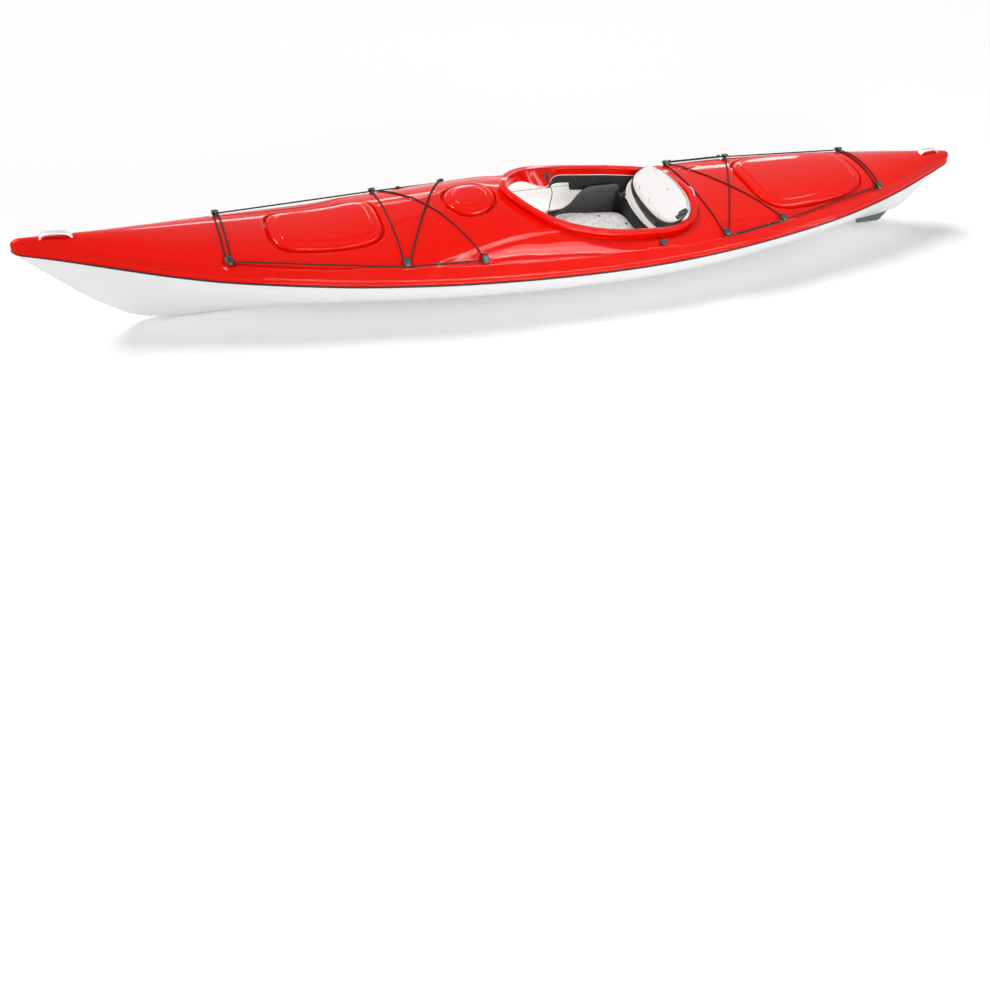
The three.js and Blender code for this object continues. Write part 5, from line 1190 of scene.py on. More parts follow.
def panSheet(x, lift, inset, dropTop, reach=0.0):
    # section from the port wing over the floor to the starboard wing: floor, fillet, wall and a rolled rim
    base, tall = panBase(x) + lift, wingHeight(x) - dropTop
    edge = seat["halfWidth"] - inset
    corners = np.stack([asPoints(0, base), asPoints(wingStart - inset, base), asPoints(edge, base + tall),
                        asPoints(edge + reach, base + tall - seat["rimFall"] * reach)], axis=1)
    steps = seat["radiusSteps"]
    half = softened(corners, np.array(seat["radii"]), steps)[:, steps + 1:-steps if reach else -steps - 1]
    across = np.linspace(0, 1, seat["floorColumns"], endpoint=False)[:, None] * half[:, 0, 0]
    half = np.concatenate([asPoints(across, half[:, 0, 1]).transpose(1, 0, 2), half], axis=1)
    port = asPoints(x[:, None], -half[..., 0], half[..., 1])
    return np.concatenate([port[:, ::-1], (port * (1, -1, 1))[:, 1:]], axis=1)


def sheetSolid(sheet, thick):
    # closed sheet: a second skin a thickness below along the grid's own normals, joined all round
    rows, columns = sheet.shape[:2]
    normal = unit(np.cross(np.gradient(sheet, axis=0), np.gradient(sheet, axis=1)))
    normal = normal * np.where(normal[rows // 2, columns // 2, 2] < 0, -1, 1)
    grid = np.arange(rows * columns).reshape(rows, columns)
    edge = np.concatenate([grid[:-1, 0], grid[-1, :-1], grid[:0:-1, -1], grid[0, :0:-1]])
    return twoSkins(sheet, sheet - normal * thick, edge)


def seatBearer(sense):
    # foot under the pan: its lower edge follows the hull's inner side
    x = np.linspace(seatFront + seat["bearerWidth"], seatBack - seat["bearerWidth"], seat["bearerRings"])
    inner, outer = (sense * (seat["bearerOffset"] + side * seat["bearerWidth"] / 2) for side in (-1, 1))
    top = 0 * x + seat["base"] - seat["bearerTop"]
    section = sectionOfHull(x, hull["wall"] + seat["bearerGap"])
    floor = [np.array([np.interp(abs(y), row[:, 0], row[:, 1]) for row in section]) for y in (inner, outer)]
    corners = np.stack([asPoints(y, z) for y, z in
                        ((inner, floor[0]), (outer, floor[1]), (outer, top), (inner, top))], axis=1)
    ring = softened(corners, seat["bearerRadius"], 2)
    return closedGrid(asPoints(x[:, None], ring[..., 0], ring[..., 1]))


pan = sheetSolid(panSheet(np.linspace(seatFront, seatBack, seat["rows"]), 0, 0, 0, seat["rim"]), seat["wall"])
makePiece("seat_tray", *join([pan, seatBearer(-1), seatBearer(1)]), finish["panGrey"], slot="seat_plastic",
          instead=["seat_pan"])
liningRows = np.linspace(seatFront + seat["liningEnds"][0], seatBack - seat["liningEnds"][1], seat["rows"])
liningLift, liningInset = (seat["lining"] + gap for gap in seat["liningGaps"])
liningSheet = panSheet(liningRows, liningLift, liningInset, seat["liningDrop"])
makePiece("seat_lining", *sheetSolid(liningSheet, seat["lining"]), finish["foamBlack"], slot="foam")
skirt = {
    "rows": 16, "columns": 61, "inset": 0.012, "behind": 0.017, "bulge": 0.004, "lean": 0.024, "wrap": 0.036,
    "wrapFrom": (0.17, 0.222), "foot": 0.006, "height": 0.128, "sideHeight": 0.02, "thick": 0.0025,
}


def seatSkirt():
    # black cloth from the back of the pan up to the lower edge of the backrest, leaning forward as it rises
    y, share = np.meshgrid(np.linspace(-1, 1, skirt["columns"]) * (seat["halfWidth"] - skirt["inset"]),
                           np.linspace(0, 1, skirt["rows"]), indexing="ij")
    edge = (np.abs(y) / seat["halfWidth"]) ** 2
    x = (seatBack + skirt["behind"] - skirt["bulge"] * np.sin(np.pi * share) - skirt["lean"] * share
         - skirt["wrap"] * smoothStep(np.abs(y), *skirt["wrapFrom"]))
    z = seat["base"] + skirt["foot"] + share * (skirt["height"] + skirt["sideHeight"] * edge)
    return sheetSolid(asPoints(x, y, z), skirt["thick"])


makePiece("seat_skirt", *seatSkirt(), finish["foamBlack"], slot="foam")
print("seat pan made")


# Padded pieces
softSharp = 60
trialPad = {"rows": 45, "columns": 57, "pressure": 4, "frames": 20}


def pillowFaces(rows, columns):
    # two grids that share their edge points: the second one's edge is taken from the first
    grid = np.arange(rows * columns).reshape(rows, columns)
    index = np.arange(2 * rows * columns)
    edge = np.concatenate([grid[0], grid[-1], grid[1:-1, 0], grid[1:-1, -1]])
    index[rows * columns + edge] = edge
    quads = gridFaces(rows, columns)
    return index[np.concatenate([quads, quads[:, ::-1] + rows * columns])]


def puffed(shape, rows, columns, cap):
    # how far air pressure moves each point of a pillow, from a short cloth run on a coarse grid
    coarse = (trialPad["rows"], trialPad["columns"])
    moved = np.zeros((2, *coarse, 3))
    start = shape(*coarse)
    mesh = bpy.data.meshes.new("padTrial")
    mesh.from_pydata(start.reshape(-1, 3), [], pillowFaces(*coarse))
    trial = placed("padTrial", mesh)
    cloth = trial.modifiers.new("cloth", "CLOTH")
    cloth.settings.use_pressure = True
    cloth.settings.uniform_pressure_force = trialPad["pressure"]
    cloth.settings.effector_weights.gravity = 0
    for step in range(trialPad["frames"]):
        bpy.context.scene.frame_set(step + 1)
    settled = trial.evaluated_get(bpy.context.evaluated_depsgraph_get()).data
    places = np.empty(len(settled.vertices) * 3)
    settled.vertices.foreach_get("co", places)
    moved = places.reshape(start.shape) - start
    for spot in ((0,), (-1,), (slice(None), 0), (slice(None), -1)):
        moved[1][spot] = moved[0][spot]
    length = np.linalg.norm(moved, axis=-1, keepdims=True)
    moved = moved * np.minimum(1, cap / np.maximum(length, tiny))
    bpy.context.scene.frame_set(1)
    bpy.data.objects.remove(trial)
    # the coarse moves are carried to the fine grid in straight steps between its points
    i, j = (np.linspace(0, most - 1, count) for most, count in zip(coarse, (rows, columns)))
    a, b = (np.minimum(at.astype(int), most - 2) for at, most in zip((i, j), coarse))
    p, q = (i - a)[:, None, None], (j - b)[None, :, None]
    return np.stack([grid[np.ix_(a, b)] * (1 - p) * (1 - q) + grid[np.ix_(a + 1, b)] * p * (1 - q)
                     + grid[np.ix_(a, b + 1)] * (1 - p) * q + grid[np.ix_(a + 1, b + 1)] * p * q
                     for grid in moved])


def seamOfCells(x, y, pitch):
    # six-sided cells: distance to the nearest cell edge, half the pitch less the reach to the cell's centre
    rise = pitch * np.sqrt(3) / 2
    best = np.full(np.shape(x), np.inf)
    spot = np.zeros(np.shape(x) + (2,))
    row = np.round(x / rise)
    for line in (row - 1, row, row + 1):
        shift = np.where(line % 2 == 0, 0, pitch / 2)
        middleY = np.round((y - shift) / pitch) * pitch + shift
        away = np.stack([x - line * rise, y - middleY], -1)
        length = np.linalg.norm(away, axis=-1)
        spot = np.where((length < best)[..., None], away, spot)
        best = np.minimum(best, length)
    reach = np.max([np.abs(spot @ (np.sin(t), np.cos(t))) for t in (0, np.pi / 3, -np.pi / 3)], axis=0)
    return pitch / 2 - reach


cushion = {
    "front": 0.074, "back": 0.446, "halfWidth": 0.2045, "thick": 0.066, "crown": 0.003, "corner": 0.06,
    "cornerMore": 0.03, "backNarrow": 0.05, "sink": 0.004, "gap": 0.001, "fullBelow": 1.5, "cap": 0.006,
    "cell": 0.046, "cellShift": (0.011, 0.006), "groove": 0.0022, "grooveWidth": 0.0035, "line": 0.0013,
    "plainEdge": (0.035, 0.09), "least": 0.0005, "rows": 190, "columns": 230, "fill": 0.6,
    # stitching: how strong it is on average, how much that varies, and its waves along and across
    "stitch": 0.8, "broken": (0.6, 0.7), "waveAlong": (57, 3), "waveAcross": (71, 1),
    "studs": [(0.288, 0.132), (0.397, 0.058)],
    "studProfile": [(0.0004, -0.004), (0.0062, -0.004), (0.0068, 0.0012), (0.0055, 0.0034), (0.003, 0.0046),
                    (0.0004, 0.005)],
}
cushionMiddle = (cushion["front"] + cushion["back"]) / 2
cushionHalf = (cushion["back"] - cushion["front"]) / 2


def cushionPlan(rows, columns):
    u, v = np.meshgrid(np.linspace(-1, 1, rows), np.linspace(-1, 1, columns), indexing="ij")
    long = 1 - cushion["corner"] * v ** 4 - cushion["cornerMore"] * np.abs(v) ** 10
    wide = 1 - cushion["corner"] * u ** 4 - cushion["backNarrow"] * np.maximum(u, 0) ** 3
    return u, v, cushionMiddle + cushionHalf * u * long, cushion["halfWidth"] * v * wide


def cushionEdge(u, v):
    # from 1 in the middle to 0 at the outline: (1 - |u|^7)^0.45 (1 - |v|^9)^0.45
    return (1 - np.minimum(np.abs(u), 1) ** 7) ** 0.45 * (1 - np.minimum(np.abs(v), 1) ** 9) ** 0.45


def cushionShape(rows, columns):
    # top and bottom: half the thickness away from the mid height, by the edge's share, flatter below
    u, v, x, y = cushionPlan(rows, columns)
    edge, half = cushionEdge(u, v), cushion["thick"] / 2
    middle = panBase(x) + seat["lining"] + cushion["gap"] + half
    top = middle + (half - cushion["sink"] + cushion["crown"] * (1 - u**2) * (1 - v**2)) * edge
    below = middle - (half - cushion["gap"]) * np.minimum(1, cushion["fullBelow"] * edge)
    return np.stack([asPoints(x, y, top), asPoints(x, y, below)])


def padPiece(name, points, seam, material, instead, body="hull", flat=None):
    # pillow from its two grids; its map is in metres and the seam attribute draws the stitching
    rows, columns = points.shape[1:3]
    faces = pillowFaces(rows, columns)
    flat = points[..., :2] if flat is None else np.stack([flat, flat])
    piece = makePiece(name, points, faces, material, body, "cushion_cloth", instead, softSharp,
                      corners=flat.reshape(-1, 2)[faces.ravel()], attributes={"seam": [seam, 0 * seam]})


def quiltedCushion():
    rows, columns = cushion["rows"], cushion["columns"]
    plain = cushionShape(rows, columns)
    points = plain + puffed(cushionShape, rows, columns, cushion["cap"])
    points[1][..., 2] = np.maximum(points[1][..., 2], plain[1][..., 2] - cushion["least"])
    u, v, x, y = cushionPlan(rows, columns)
    inside = smoothStep(1 - np.maximum(np.abs(u), np.abs(v)), *cushion["plainEdge"])
    apart = seamOfCells(x - cushion["cellShift"][0], y - cushion["cellShift"][1], cushion["cell"])
    points[0][..., 2] -= cushion["groove"] * np.exp(-(apart / cushion["grooveWidth"]) ** 2) * inside
    (rateX, startX), (rateY, startY) = cushion["waveAlong"], cushion["waveAcross"]
    mean, change = cushion["broken"]
    broken = np.clip(mean + change * np.sin(rateX * x + startX) * np.sin(rateY * y + startY), 0, 1)
    seam = cushion["stitch"] * np.exp(-(apart / cushion["line"]) ** 2) * broken * inside
    padPiece("seat_cushion_cover", points, seam, finish["cushionWhite"], ["seat_cushion"])


quiltedCushion()


def cushionTop(x, y):
    u, v = (x - cushionMiddle) / cushionHalf, y / cushion["halfWidth"]
    dropped = cushion["thick"] / 2 * (1 - cushionEdge(u, v))
    crown = cushion["crown"] * (1 - u**2) * (1 - v**2)
    return float(panBase(x) + seat["lining"] + cushion["thick"] + cushion["gap"] - dropped + crown)


def standing(x, y, z):
    # upright place: across, up and along the hull
    return np.array([x, y, z]), np.array([0.0, 1, 0]), np.array([0.0, 0, 1]), np.array([1.0, 0, 0])


studs = [latheAt(cushion["studProfile"], standing(x, y, cushionTop(x, y))) for x, y in cushion["studs"]]
makePiece("cushion_studs", *join(studs), finish["trimBlack"], slot="black_plastic")
print("cushion made")


# Hip pads: foam panels between the cushion and the wings
hipPad = {
    "front": seatFront + 0.012, "back": seat["backPivotX"] + 0.006,
    "low": seat["base"] + seat["frontRise"] + 0.0003, "top": 0.246, "thick": 0.018, "gap": 0.0003,
    "edge": 0.001, "radius": 0.016, "points": 150, "rings": 44, "ringPower": 0.9,
    "middle": (0.03, -0.01), "stitch": 0.5,
    "shares": [(0, 0.02), (0.06, 0.14), (0.29, 0.48), (0.41, 0.86), (0.52, 1), (0.96, 1), (1, 0.9), (1, 0)],
    # upright seams and one level seam, as shares of the panel; their breadth as a share, and depth
    "seams": (0.44, 0.66, 0.7), "level": 0.78, "seamWidths": (0.0022 / 0.26, 0.0022 / 0.158), "dip": 0.0022,
}


def hipPadPiece(side, sense):
    # panel outline filled with rings towards its middle; each face swells as (1 - share^14)^0.4
    low = np.array([hipPad["front"], hipPad["low"]])
    size = (hipPad["back"], hipPad["top"]) - low
    corners = low + np.array(hipPad["shares"]) * size
    outline = evenly(softened(corners, hipPad["radius"], 5), hipPad["points"])
    shares = np.sin(np.linspace(0, np.pi / 2, hipPad["rings"])) ** hipPad["ringPower"]
    centre = corners.mean(axis=0) + hipPad["middle"]
    plan = centre + (outline - centre) * shares[:, None, None]
    swell = (1 - shares ** 14)[:, None] ** 0.4
    wide = (hipPad["thick"] / 2 - hipPad["edge"]) * swell
    share, height = np.moveaxis((plan - low) / size, -1, 0)
    (across, up), level = hipPad["seamWidths"], hipPad["level"]
    lines = sum(np.exp(-((share - at) / across) ** 2) for at in hipPad["seams"])
    lines = np.minimum(1, lines + np.exp(-((height - level) / up) ** 2))
    middle = sense * (wingStart - hipPad["thick"] / 2 - hipPad["gap"])
    inner = asPoints(plan[..., 0], middle - sense * (wide - hipPad["dip"] * lines * swell), plan[..., 1])
    outer = asPoints(plan[..., 0], middle + sense * wide, plan[..., 1])
    rings = np.concatenate([inner, outer[-2::-1]])
    faces = gridFaces(*rings.shape[:2], closedColumns=True)
    seam = np.concatenate([hipPad["stitch"] * lines, 0 * lines[-2::-1]])
    piece = makePiece(f"hip_panel_{side}", rings, faces, finish["foamCloth"], slot="foam",
                      instead=[f"hip_pad_{side}"], sharp=softSharp,
                      corners=rings.reshape(-1, 3)[faces.ravel()][:, ::2], attributes={"seam": seam})


for side, sense in sides.items():
    hipPadPiece(side, sense)
sideShadeStrip = {
    "thick": 0.004, "front": 0.0, "back": 0.53, "low": 0.034, "deep": 0.072, "points": 90, "rows": 10,
    "under": 0.0015, "start": 0.004, "startReach": 0.05, "step": (0.159, 0.171), "more": 0.03,
    "moreStep": (0.35, 0.39), "lean": 0.006,
}


def shadeStripUnderDeck(sense):
    # black strip that hangs from the coaming's inner edge, deeper beside the seat: painted shade, a dark
    # sheet standing in for the shade under the deck's edge
    line = edgePath[edgePath[:, 1] * sense > 0]
    line = line[np.argsort(line[:, 0])]
    x = np.linspace(sideShadeStrip["front"], sideShadeStrip["back"], sideShadeStrip["points"])
    y, top = (np.interp(x, line[:, 0], np.abs(line[:, k])) for k in (1, 2))
    deeper = (sideShadeStrip["deep"] - sideShadeStrip["low"]) * smoothStep(x, *sideShadeStrip["step"])
    deeper = sideShadeStrip["low"] + deeper + sideShadeStrip["more"] * smoothStep(x, *sideShadeStrip["moreStep"])
    ends = smoothStep(x, sideShadeStrip["front"], sideShadeStrip["front"] + sideShadeStrip["startReach"])
    drop = sideShadeStrip["start"] + ends * deeper
    share = np.linspace(0, 1, sideShadeStrip["rows"])[:, None]
    grid = asPoints(x, sense * (y + sideShadeStrip["lean"] * share), top - sideShadeStrip["under"] - drop * share)
    return sheetSolid(grid, sideShadeStrip["thick"])


# black sheets under the deck's edge on both sides: painted shade
for side, sense in sides.items():
    makePiece(f"side_shade_strip_{side}", *shadeStripUnderDeck(sense), finish["foamBlack"], slot="foam")
print("hip pads made")


def upright(flat, level):
    # outline seen from port, its thickness across the hull
    return asPoints(flat[:, 0], level, flat[:, 1])


# Backrest: shell on two pins, black gusset and an oval pad
rest = {
    "angle": radians(36), "halfWidth": 0.186, "bend": 0.004, "thick": 0.005, "rim": 0.006,
    "rimShares": (0.86, 1),
    "shellMiddle": 0.111, "shellLong": 0.111, "shellWide": 0.207, "shellPower": 2.7, "shellNarrow": 0.1,
    "shellRows": 61, "shellColumns": 81, "lugRadius": 0.011, "lugArm": 0.014, "lugPlace": 0.166,
    "lugHalf": 0.006, "lugEdge": 0.002, "lugPoints": 40,
    "padMiddle": 0.132, "padLong": 0.088, "padWide": 0.209, "padPower": 2.6, "padNarrow": 0.12,
    "padThick": 0.031, "padLift": 0.008, "padBack": 0.006, "padShares": (0.8, 0.1), "cap": 0.005, "fill": 0.7,
    "rows": 150, "columns": 220,
    # short stitched tucks: place along and across, turn, length; their breadth, soft end and depth
    "ticks": [(0.078, 0.098, 0.9, 0.03), (0.07, -0.003, 0.9, 0.03), (0.066, -0.115, 0.9, 0.026),
              (0.168, -0.015, 1.57, 0.02)],
    "tickWidth": 0.0014, "tickEnd": 0.004, "tickDepth": 0.0014,
}


def backPlace(along, across, out):
    # along the leaning back, across the hull and out of the back's face, all from the hinge's axis
    cos, sin = np.cos(rest["angle"]), np.sin(rest["angle"])
    return asPoints(seat["backPivotX"] + along * cos - out * sin, across,
                    seat["backPivotZ"] + along * sin + out * cos)


def backWrap(y):
    return rest["bend"] * (y / rest["halfWidth"]) ** 2


def ovalGrid(rows, columns, key):
    # square grid drawn to a superellipse, narrower towards its top
    words = ("Middle", "Long", "Wide", "Power", "Narrow")
    middle, long, wide, power, narrow = (rest[key + word] for word in words)
    u, v = np.meshgrid(np.linspace(-1, 1, rows), np.linspace(-1, 1, columns), indexing="ij")
    radius = np.maximum(np.abs(u), np.abs(v))
    length = (np.abs(u) ** power + np.abs(v) ** power) ** (1 / power)
    pull = radius / np.maximum(length, tiny)
    a, b = u * pull, v * pull
    return radius, middle + long * a, wide * b * (1 - narrow * np.maximum(a, 0) ** 2)


def backShell():
    # oval sheet with a rolled rim
    radius, along, across = ovalGrid(rest["shellRows"], rest["shellColumns"], "shell")
    roll = rest["rim"] * smoothStep(radius, *rest["rimShares"])
    return sheetSolid(backPlace(along, across, backWrap(across) + roll), rest["thick"])


def backLugs():
    # rounded arm from the sheet round each hinge pin
    pin = np.array([seat["backPivotX"], seat["backPivotZ"]])
    outline = pin + rest["lugRadius"] * np.stack(superellipse(rest["lugPoints"], 2), 1)
    outline = outline + (outline[:, :1] > pin[0]) * rest["lugArm"]
    places = [sense * rest["lugPlace"] for sense in sides.values()]
    return join([extruded(outline, y - rest["lugHalf"], y + rest["lugHalf"], rest["lugEdge"], upright)
                 for y in places])


makePiece("backrest_frame", *backShell(), finish["panGrey"], body="backrest", slot="seat_plastic",
          instead=["backrest_shell"])
makePiece("backrest_lugs", *backLugs(), finish["trimBlack"], body="backrest", slot="black_plastic")


def backPadShape(rows, columns):
    # face stands out by the thickness times (1 - share^12)^0.4, and its back lies flat on the shell
    radius, along, across = ovalGrid(rows, columns, "pad")
    swell = (1 - radius ** 12) ** 0.4
    low, (most, bulge) = backWrap(across) + rest["padLift"], rest["padShares"]
    high = low + rest["padThick"] * swell * (most + bulge * (1 - radius ** 2))
    return np.stack([backPlace(along, across, high),
                     backPlace(along, across, low - rest["padBack"] * np.minimum(1, 2 * swell))])


def backPad():
    rows, columns = rest["rows"], rest["columns"]
    plain = backPadShape(rows, columns)
    points = plain + puffed(backPadShape, rows, columns, rest["cap"])
    points[1] = plain[1]
    edge = np.ones((rows, columns), bool)
    edge[1:-1, 1:-1] = False
    points[:, edge] = plain[0][edge]
    along, across = ovalGrid(rows, columns, "pad")[1:]
    seam = np.zeros((rows, columns))
    for at, y, turn, long in rest["ticks"]:
        # dark where a point is near the tick's line and within its length
        run = (along - at) * np.cos(turn) + (across - y) * np.sin(turn)
        off = -(along - at) * np.sin(turn) + (across - y) * np.cos(turn)
        within = smoothStep(long / 2 - np.abs(run), 0, rest["tickEnd"])
        seam = np.maximum(seam, np.exp(-(off / rest["tickWidth"]) ** 2) * within)
    lift = backPlace(0.0, 0.0, 1.0) - backPlace(0.0, 0.0, 0.0)
    points[0] -= rest["tickDepth"] * seam[..., None] * lift
    padPiece("backrest_cover", points, seam, finish["cushionWhite"], ["backrest_pad"],
             "backrest", np.stack([along, across], -1))


backPad()
gusset = {
    "section": [(-0.006, 0.0012), (0.016, 0.0012), (0.0175, 0.006), (0.004, 0.022), (-0.008, 0.026)],
    "radius": 0.003, "points": 180, "lower": (-0.2, 0.75), "port": (-0.9, 0.7), "portShares": (0.65, 0.55),
    "thin": 0.005, "ribPoints": 720, "ribLow": (0.0164, 0.0086), "ribHigh": (0.0068, 0.0196),
    "ribs": (-0.12, 0.08), "ribReach": 0.09, "ribStep": 5, "ribRadius": 0.0019, "ribSides": 6, "ribRings": 5,
}


def gussetPath(grow, lift, count=gusset["points"]):
    # the band shows along the lower side, broader towards port, and thins out towards the top
    a, b = superellipse(count, rest["padPower"])
    least, more = gusset["portShares"]
    lower = smoothStep(-a, *gusset["lower"]) * (least + more * smoothStep(-b, *gusset["port"]))
    band = grow * lower - gusset["thin"] * (1 - lower)
    across = (rest["padWide"] + band) * b * (1 - rest["padNarrow"] * np.maximum(a, 0) ** 2)
    return backPlace(rest["padMiddle"] + (rest["padLong"] + band) * a, across, backWrap(across) + lift)


def ribbedStrip():
    # ribs along the gusset's lower port part: small rounded bars side by side
    low, high = (gussetPath(*gusset[key], gusset["ribPoints"]) for key in ("ribLow", "ribHigh"))
    first, last = gusset["ribs"]
    here = (low[:, 1] > first) & (low[:, 1] < last) & (low[:, 0] < seat["backPivotX"] + gusset["ribReach"])
    share = np.linspace(0, 1, gusset["ribRings"])[:, None]
    return join([tubeAlong(low[k] + (high[k] - low[k]) * share, gusset["ribRadius"], gusset["ribSides"],
                           guide=(0, 1, 0)) for k in np.flatnonzero(here)[::gusset["ribStep"]]])


section = softened(np.array(gusset["section"]), gusset["radius"])
makePiece("backrest_gusset", *loopedGrid(np.stack([gussetPath(*spot) for spot in section], axis=1)),
          finish["foamBlack"], body="backrest", slot="foam")
makePiece("backrest_ribs", *ribbedStrip(), finish["webbingGrey"], body="backrest", slot="black_plastic")
buckle = {
    "place": (0.146, -0.186), "lift": 0.027, "points": 36, "power": 4, "edge": 0.0018,
    # strap end and clip: half length, half width, level, thickness, shift along the back
    "parts": [(0.029, 0.015, 0.0, 0.008, 0.0), (0.016, 0.011, 0.008, 0.005, 0.004)],
}


def buckleParts():
    # strap end and its clip on the pad's port shoulder
    x, y = buckle["place"]

    def at(flat, level):
        return backPlace(x + flat[:, 0], y + flat[:, 1], backWrap(y) + buckle["lift"] + level)
    outline = np.stack(superellipse(buckle["points"], buckle["power"]), 1)
    return join([extruded(outline * (long, wide) + (shift, 0), lift, lift + thick, buckle["edge"], at)
                 for long, wide, lift, thick, shift in buckle["parts"]])


makePiece("backrest_buckle", *buckleParts(), finish["trimBlack"], body="backrest", slot="black_plastic")
print("backrest made")


# Seat lift: cleat on the starboard thigh brace and the cord through it
lift = {
    "place": bracePlace + 0.024, "share": 0.45, "cleatLength": 0.032, "cleatWidth": 0.016,
    "cleatHeight": 0.01, "radius": 0.005, "edge": 0.0012, "sunk": 0.0006, "plateShare": 0.3,
    "hornShare": 0.2, "hornApart": 3.4, "horn": (0.0055, 0.0042, 0.003), "hornEdge": 0.0016,
    "cordRadius": 0.002, "gap": 0.0004, "cleatGap": 0.0003, "overShare": 0.6, "holdX": 0.006, "points": 120,
}


def braceFrame():
    # middle of the brace's sloping top, then down it, out of it and along it
    spots = np.flatnonzero(rimWallLine[:, 1] > 0)
    k = spots[np.argmin(np.abs(rimWallLine[spots, 0] - lift["place"]))]
    out, wall = rimWallOut[k], cockpit["rimWall"]
    inward, depth = (float(value[k]) for value in apronAt(rimWallLine))
    top = float(deckHeight(*rimWallLine[k])) + cockpit["rimHeight"]
    down = unit(np.array([*(-out * inward), wall - depth]))
    face = np.cross((-out[1], out[0], 0.0), down)
    face = face * (-1 if face[2] < 0 else 1)
    spot = rimWallLine[k] - out * (wall + inward * lift["share"])
    return np.array([*spot, top - wall - (depth - wall) * lift["share"]]), down, face, np.cross(face, down)


braceMiddle, braceDown, braceOut, braceSide = braceFrame()


def onBrace(flat, level):
    return braceMiddle + flat[:, :1] * braceSide + flat[:, 1:] * braceDown + level * braceOut


def cleat():
    # base plate with rounded ends, and two horns that the cord wraps round
    tall, apart = lift["cleatHeight"], lift["cleatLength"] / lift["hornApart"]
    base = rounded(lift["cleatLength"] / 2, lift["cleatWidth"] / 2, lift["radius"], 4)
    horn = rounded(*lift["horn"], 4)
    parts = [extruded(base, -lift["sunk"], tall * lift["plateShare"], lift["edge"], onBrace)]
    for shift in (-apart, apart):
        parts.append(extruded(horn + (shift, 0), tall * lift["hornShare"], tall, lift["hornEdge"], onBrace))
    return join(parts)


def liftPath():
    # from under the cleat over the brace's edge and down to the front of the seat
    radius, quarter = lift["cordRadius"], lift["cleatHeight"] / 4
    edge = cockpit["braceReach"] * (1 - lift["share"])

    def above(down, out):
        return braceMiddle + braceOut * out + braceDown * down
    over = above(edge + 3 * radius, 2 * radius + lift["gap"])
    below = over + (lift["cleatLength"] / 2, -2 * radius, -lift["cleatLength"])
    hold = np.array([seatFront + lift["holdX"], wingStart - 3 * radius,
                     seat["base"] + seat["frontRise"] + radius + lift["gap"]])
    start = above(0, quarter + lift["cleatGap"] + radius)
    bend = above(edge * lift["overShare"], quarter + 2 * radius)
    stops = [start, bend, over, below, (below + hold) / 2, hold + (0, 0, lift["cleatLength"]), hold]
    return curveThrough(stops, lift["points"])


makePiece("lift_cleat", *cleat(), finish["trimBlack"], slot="black_plastic", instead=["flange_cleat"])
makeLine("lift_cord", liftPath(), ["seat_lift_cord"], radius=lift["cordRadius"], guide=(1, 0, 0))
print("seat lift made")


# Grab handles
strapLoop = {
    # plan places and heights over the deck
    "places": [(0.660, 0.044, -0.002), (0.668, 0.03, 0.008), (0.667, 0.006, 0.011), (0.662, -0.014, 0.011),
               (0.656, -0.034, 0.008), (0.651, -0.047, -0.002)],
    "radius": 0.0032, "points": 40, "sides": 14,
}
x, y, z = np.array(strapLoop["places"]).T
loopPath = curveThrough(asPoints(x, y, z + deckHeight(x, y)), strapLoop["points"])
makePiece("strap_loop", *tubeAlong(loopPath, strapLoop["radius"], strapLoop["sides"]), finish["handleSilver"],
          slot="handle_plastic")
handles = {"bow": 0.153 - halfLength, "stern": halfLength - 0.146}
handle = {
    "half": 0.056, "width": 0.021, "height": 0.019, "thick": 0.0078, "foot": 0.012, "edge": 0.0036,
    "sunk": 0.004, "spread": 0.25, "rings": 73, "pad": (0.014, 0.0105, 0.007),
    "padLevels": (-0.003, 0.0016), "padEdge": 0.0008,
}


def grabHandle(middle):
    # arched bar: a rounded flat section along a middle line that rises as (1 - |share|^3.4)^0.55
    share = np.sin(np.linspace(-1, 1, handle["rings"]) * np.pi / 2)
    half, thick, sunk = handle["width"] / 2, handle["thick"] / 2, handle["sunk"]
    x = middle + (handle["half"] - thick) * share
    arch = (1 - np.abs(share) ** 3.4) ** 0.55
    path = asPoints(x, 0 * x, deckHeight(x, 0.0) - sunk + (handle["height"] - thick + sunk) * arch)
    ahead = unit(np.gradient(path, axis=0))
    over = np.stack([-ahead[:, 2], 0 * x, ahead[:, 0]], 1)
    spread = 1 + handle["spread"] * np.abs(share) ** 6
    section = rounded(half, thick, handle["edge"], 6)
    return closedGrid(path[:, None] + section[None, :, :1] * spread[:, None, None] * (0.0, 1, 0)
                      + section[None, :, 1:] * over[:, None])


def handleFeet(middle):
    # moulded pad under each foot
    reach = handle["half"] - handle["foot"] / 2

    def at(flat, level):
        return asPoints(*flat.T, deckHeight(*flat.T) + level)
    return join([extruded(rounded(*handle["pad"], 5) + (x, 0), *handle["padLevels"], handle["padEdge"], at)
                 for x in (middle - reach, middle + reach)])


for name, middle in handles.items():
    makePiece(f"{name}_grab", *grabHandle(middle), finish["handleSilver"], slot="handle_plastic",
              instead=[f"{name}_handle"])
    makePiece(f"{name}_grab_pads", *handleFeet(middle), finish["deckRed"], slot="deck_plastic")
print("handles made")


# Skeg blade, its control knob and track
def bladeOutline():
    # half circle round the pivot, then the blade's corners: multiples of the hub's radius
    pivotX, pivotZ, hub = skeg["pivotX"], skeg["pivotZ"], 4 * skeg["pin"]
    front = pivotX + skeg["reach"]
    back, ground = front + skeg["length"], skeg["ground"]
    tip = back + skeg["rake"]
    turn = np.linspace(np.pi / 2, 1.5 * np.pi, 24)
    arc = np.stack([pivotX + hub * np.cos(turn), pivotZ + hub * np.sin(turn)], 1)
    corners = np.array([(front - 1.2 * hub, pivotZ - 2.1 * hub), (front - hub / 3, ground + hub / 2),
                        (front + hub / 3, ground), (back, ground), (tip, pivotZ - 1.9 * hub),
                        (tip - hub / 2, pivotZ - 1.3 * hub)])
    return evenly(np.concatenate([arc, softened(corners, np.array(skeg["radii"]), 5)]), skeg["points"])


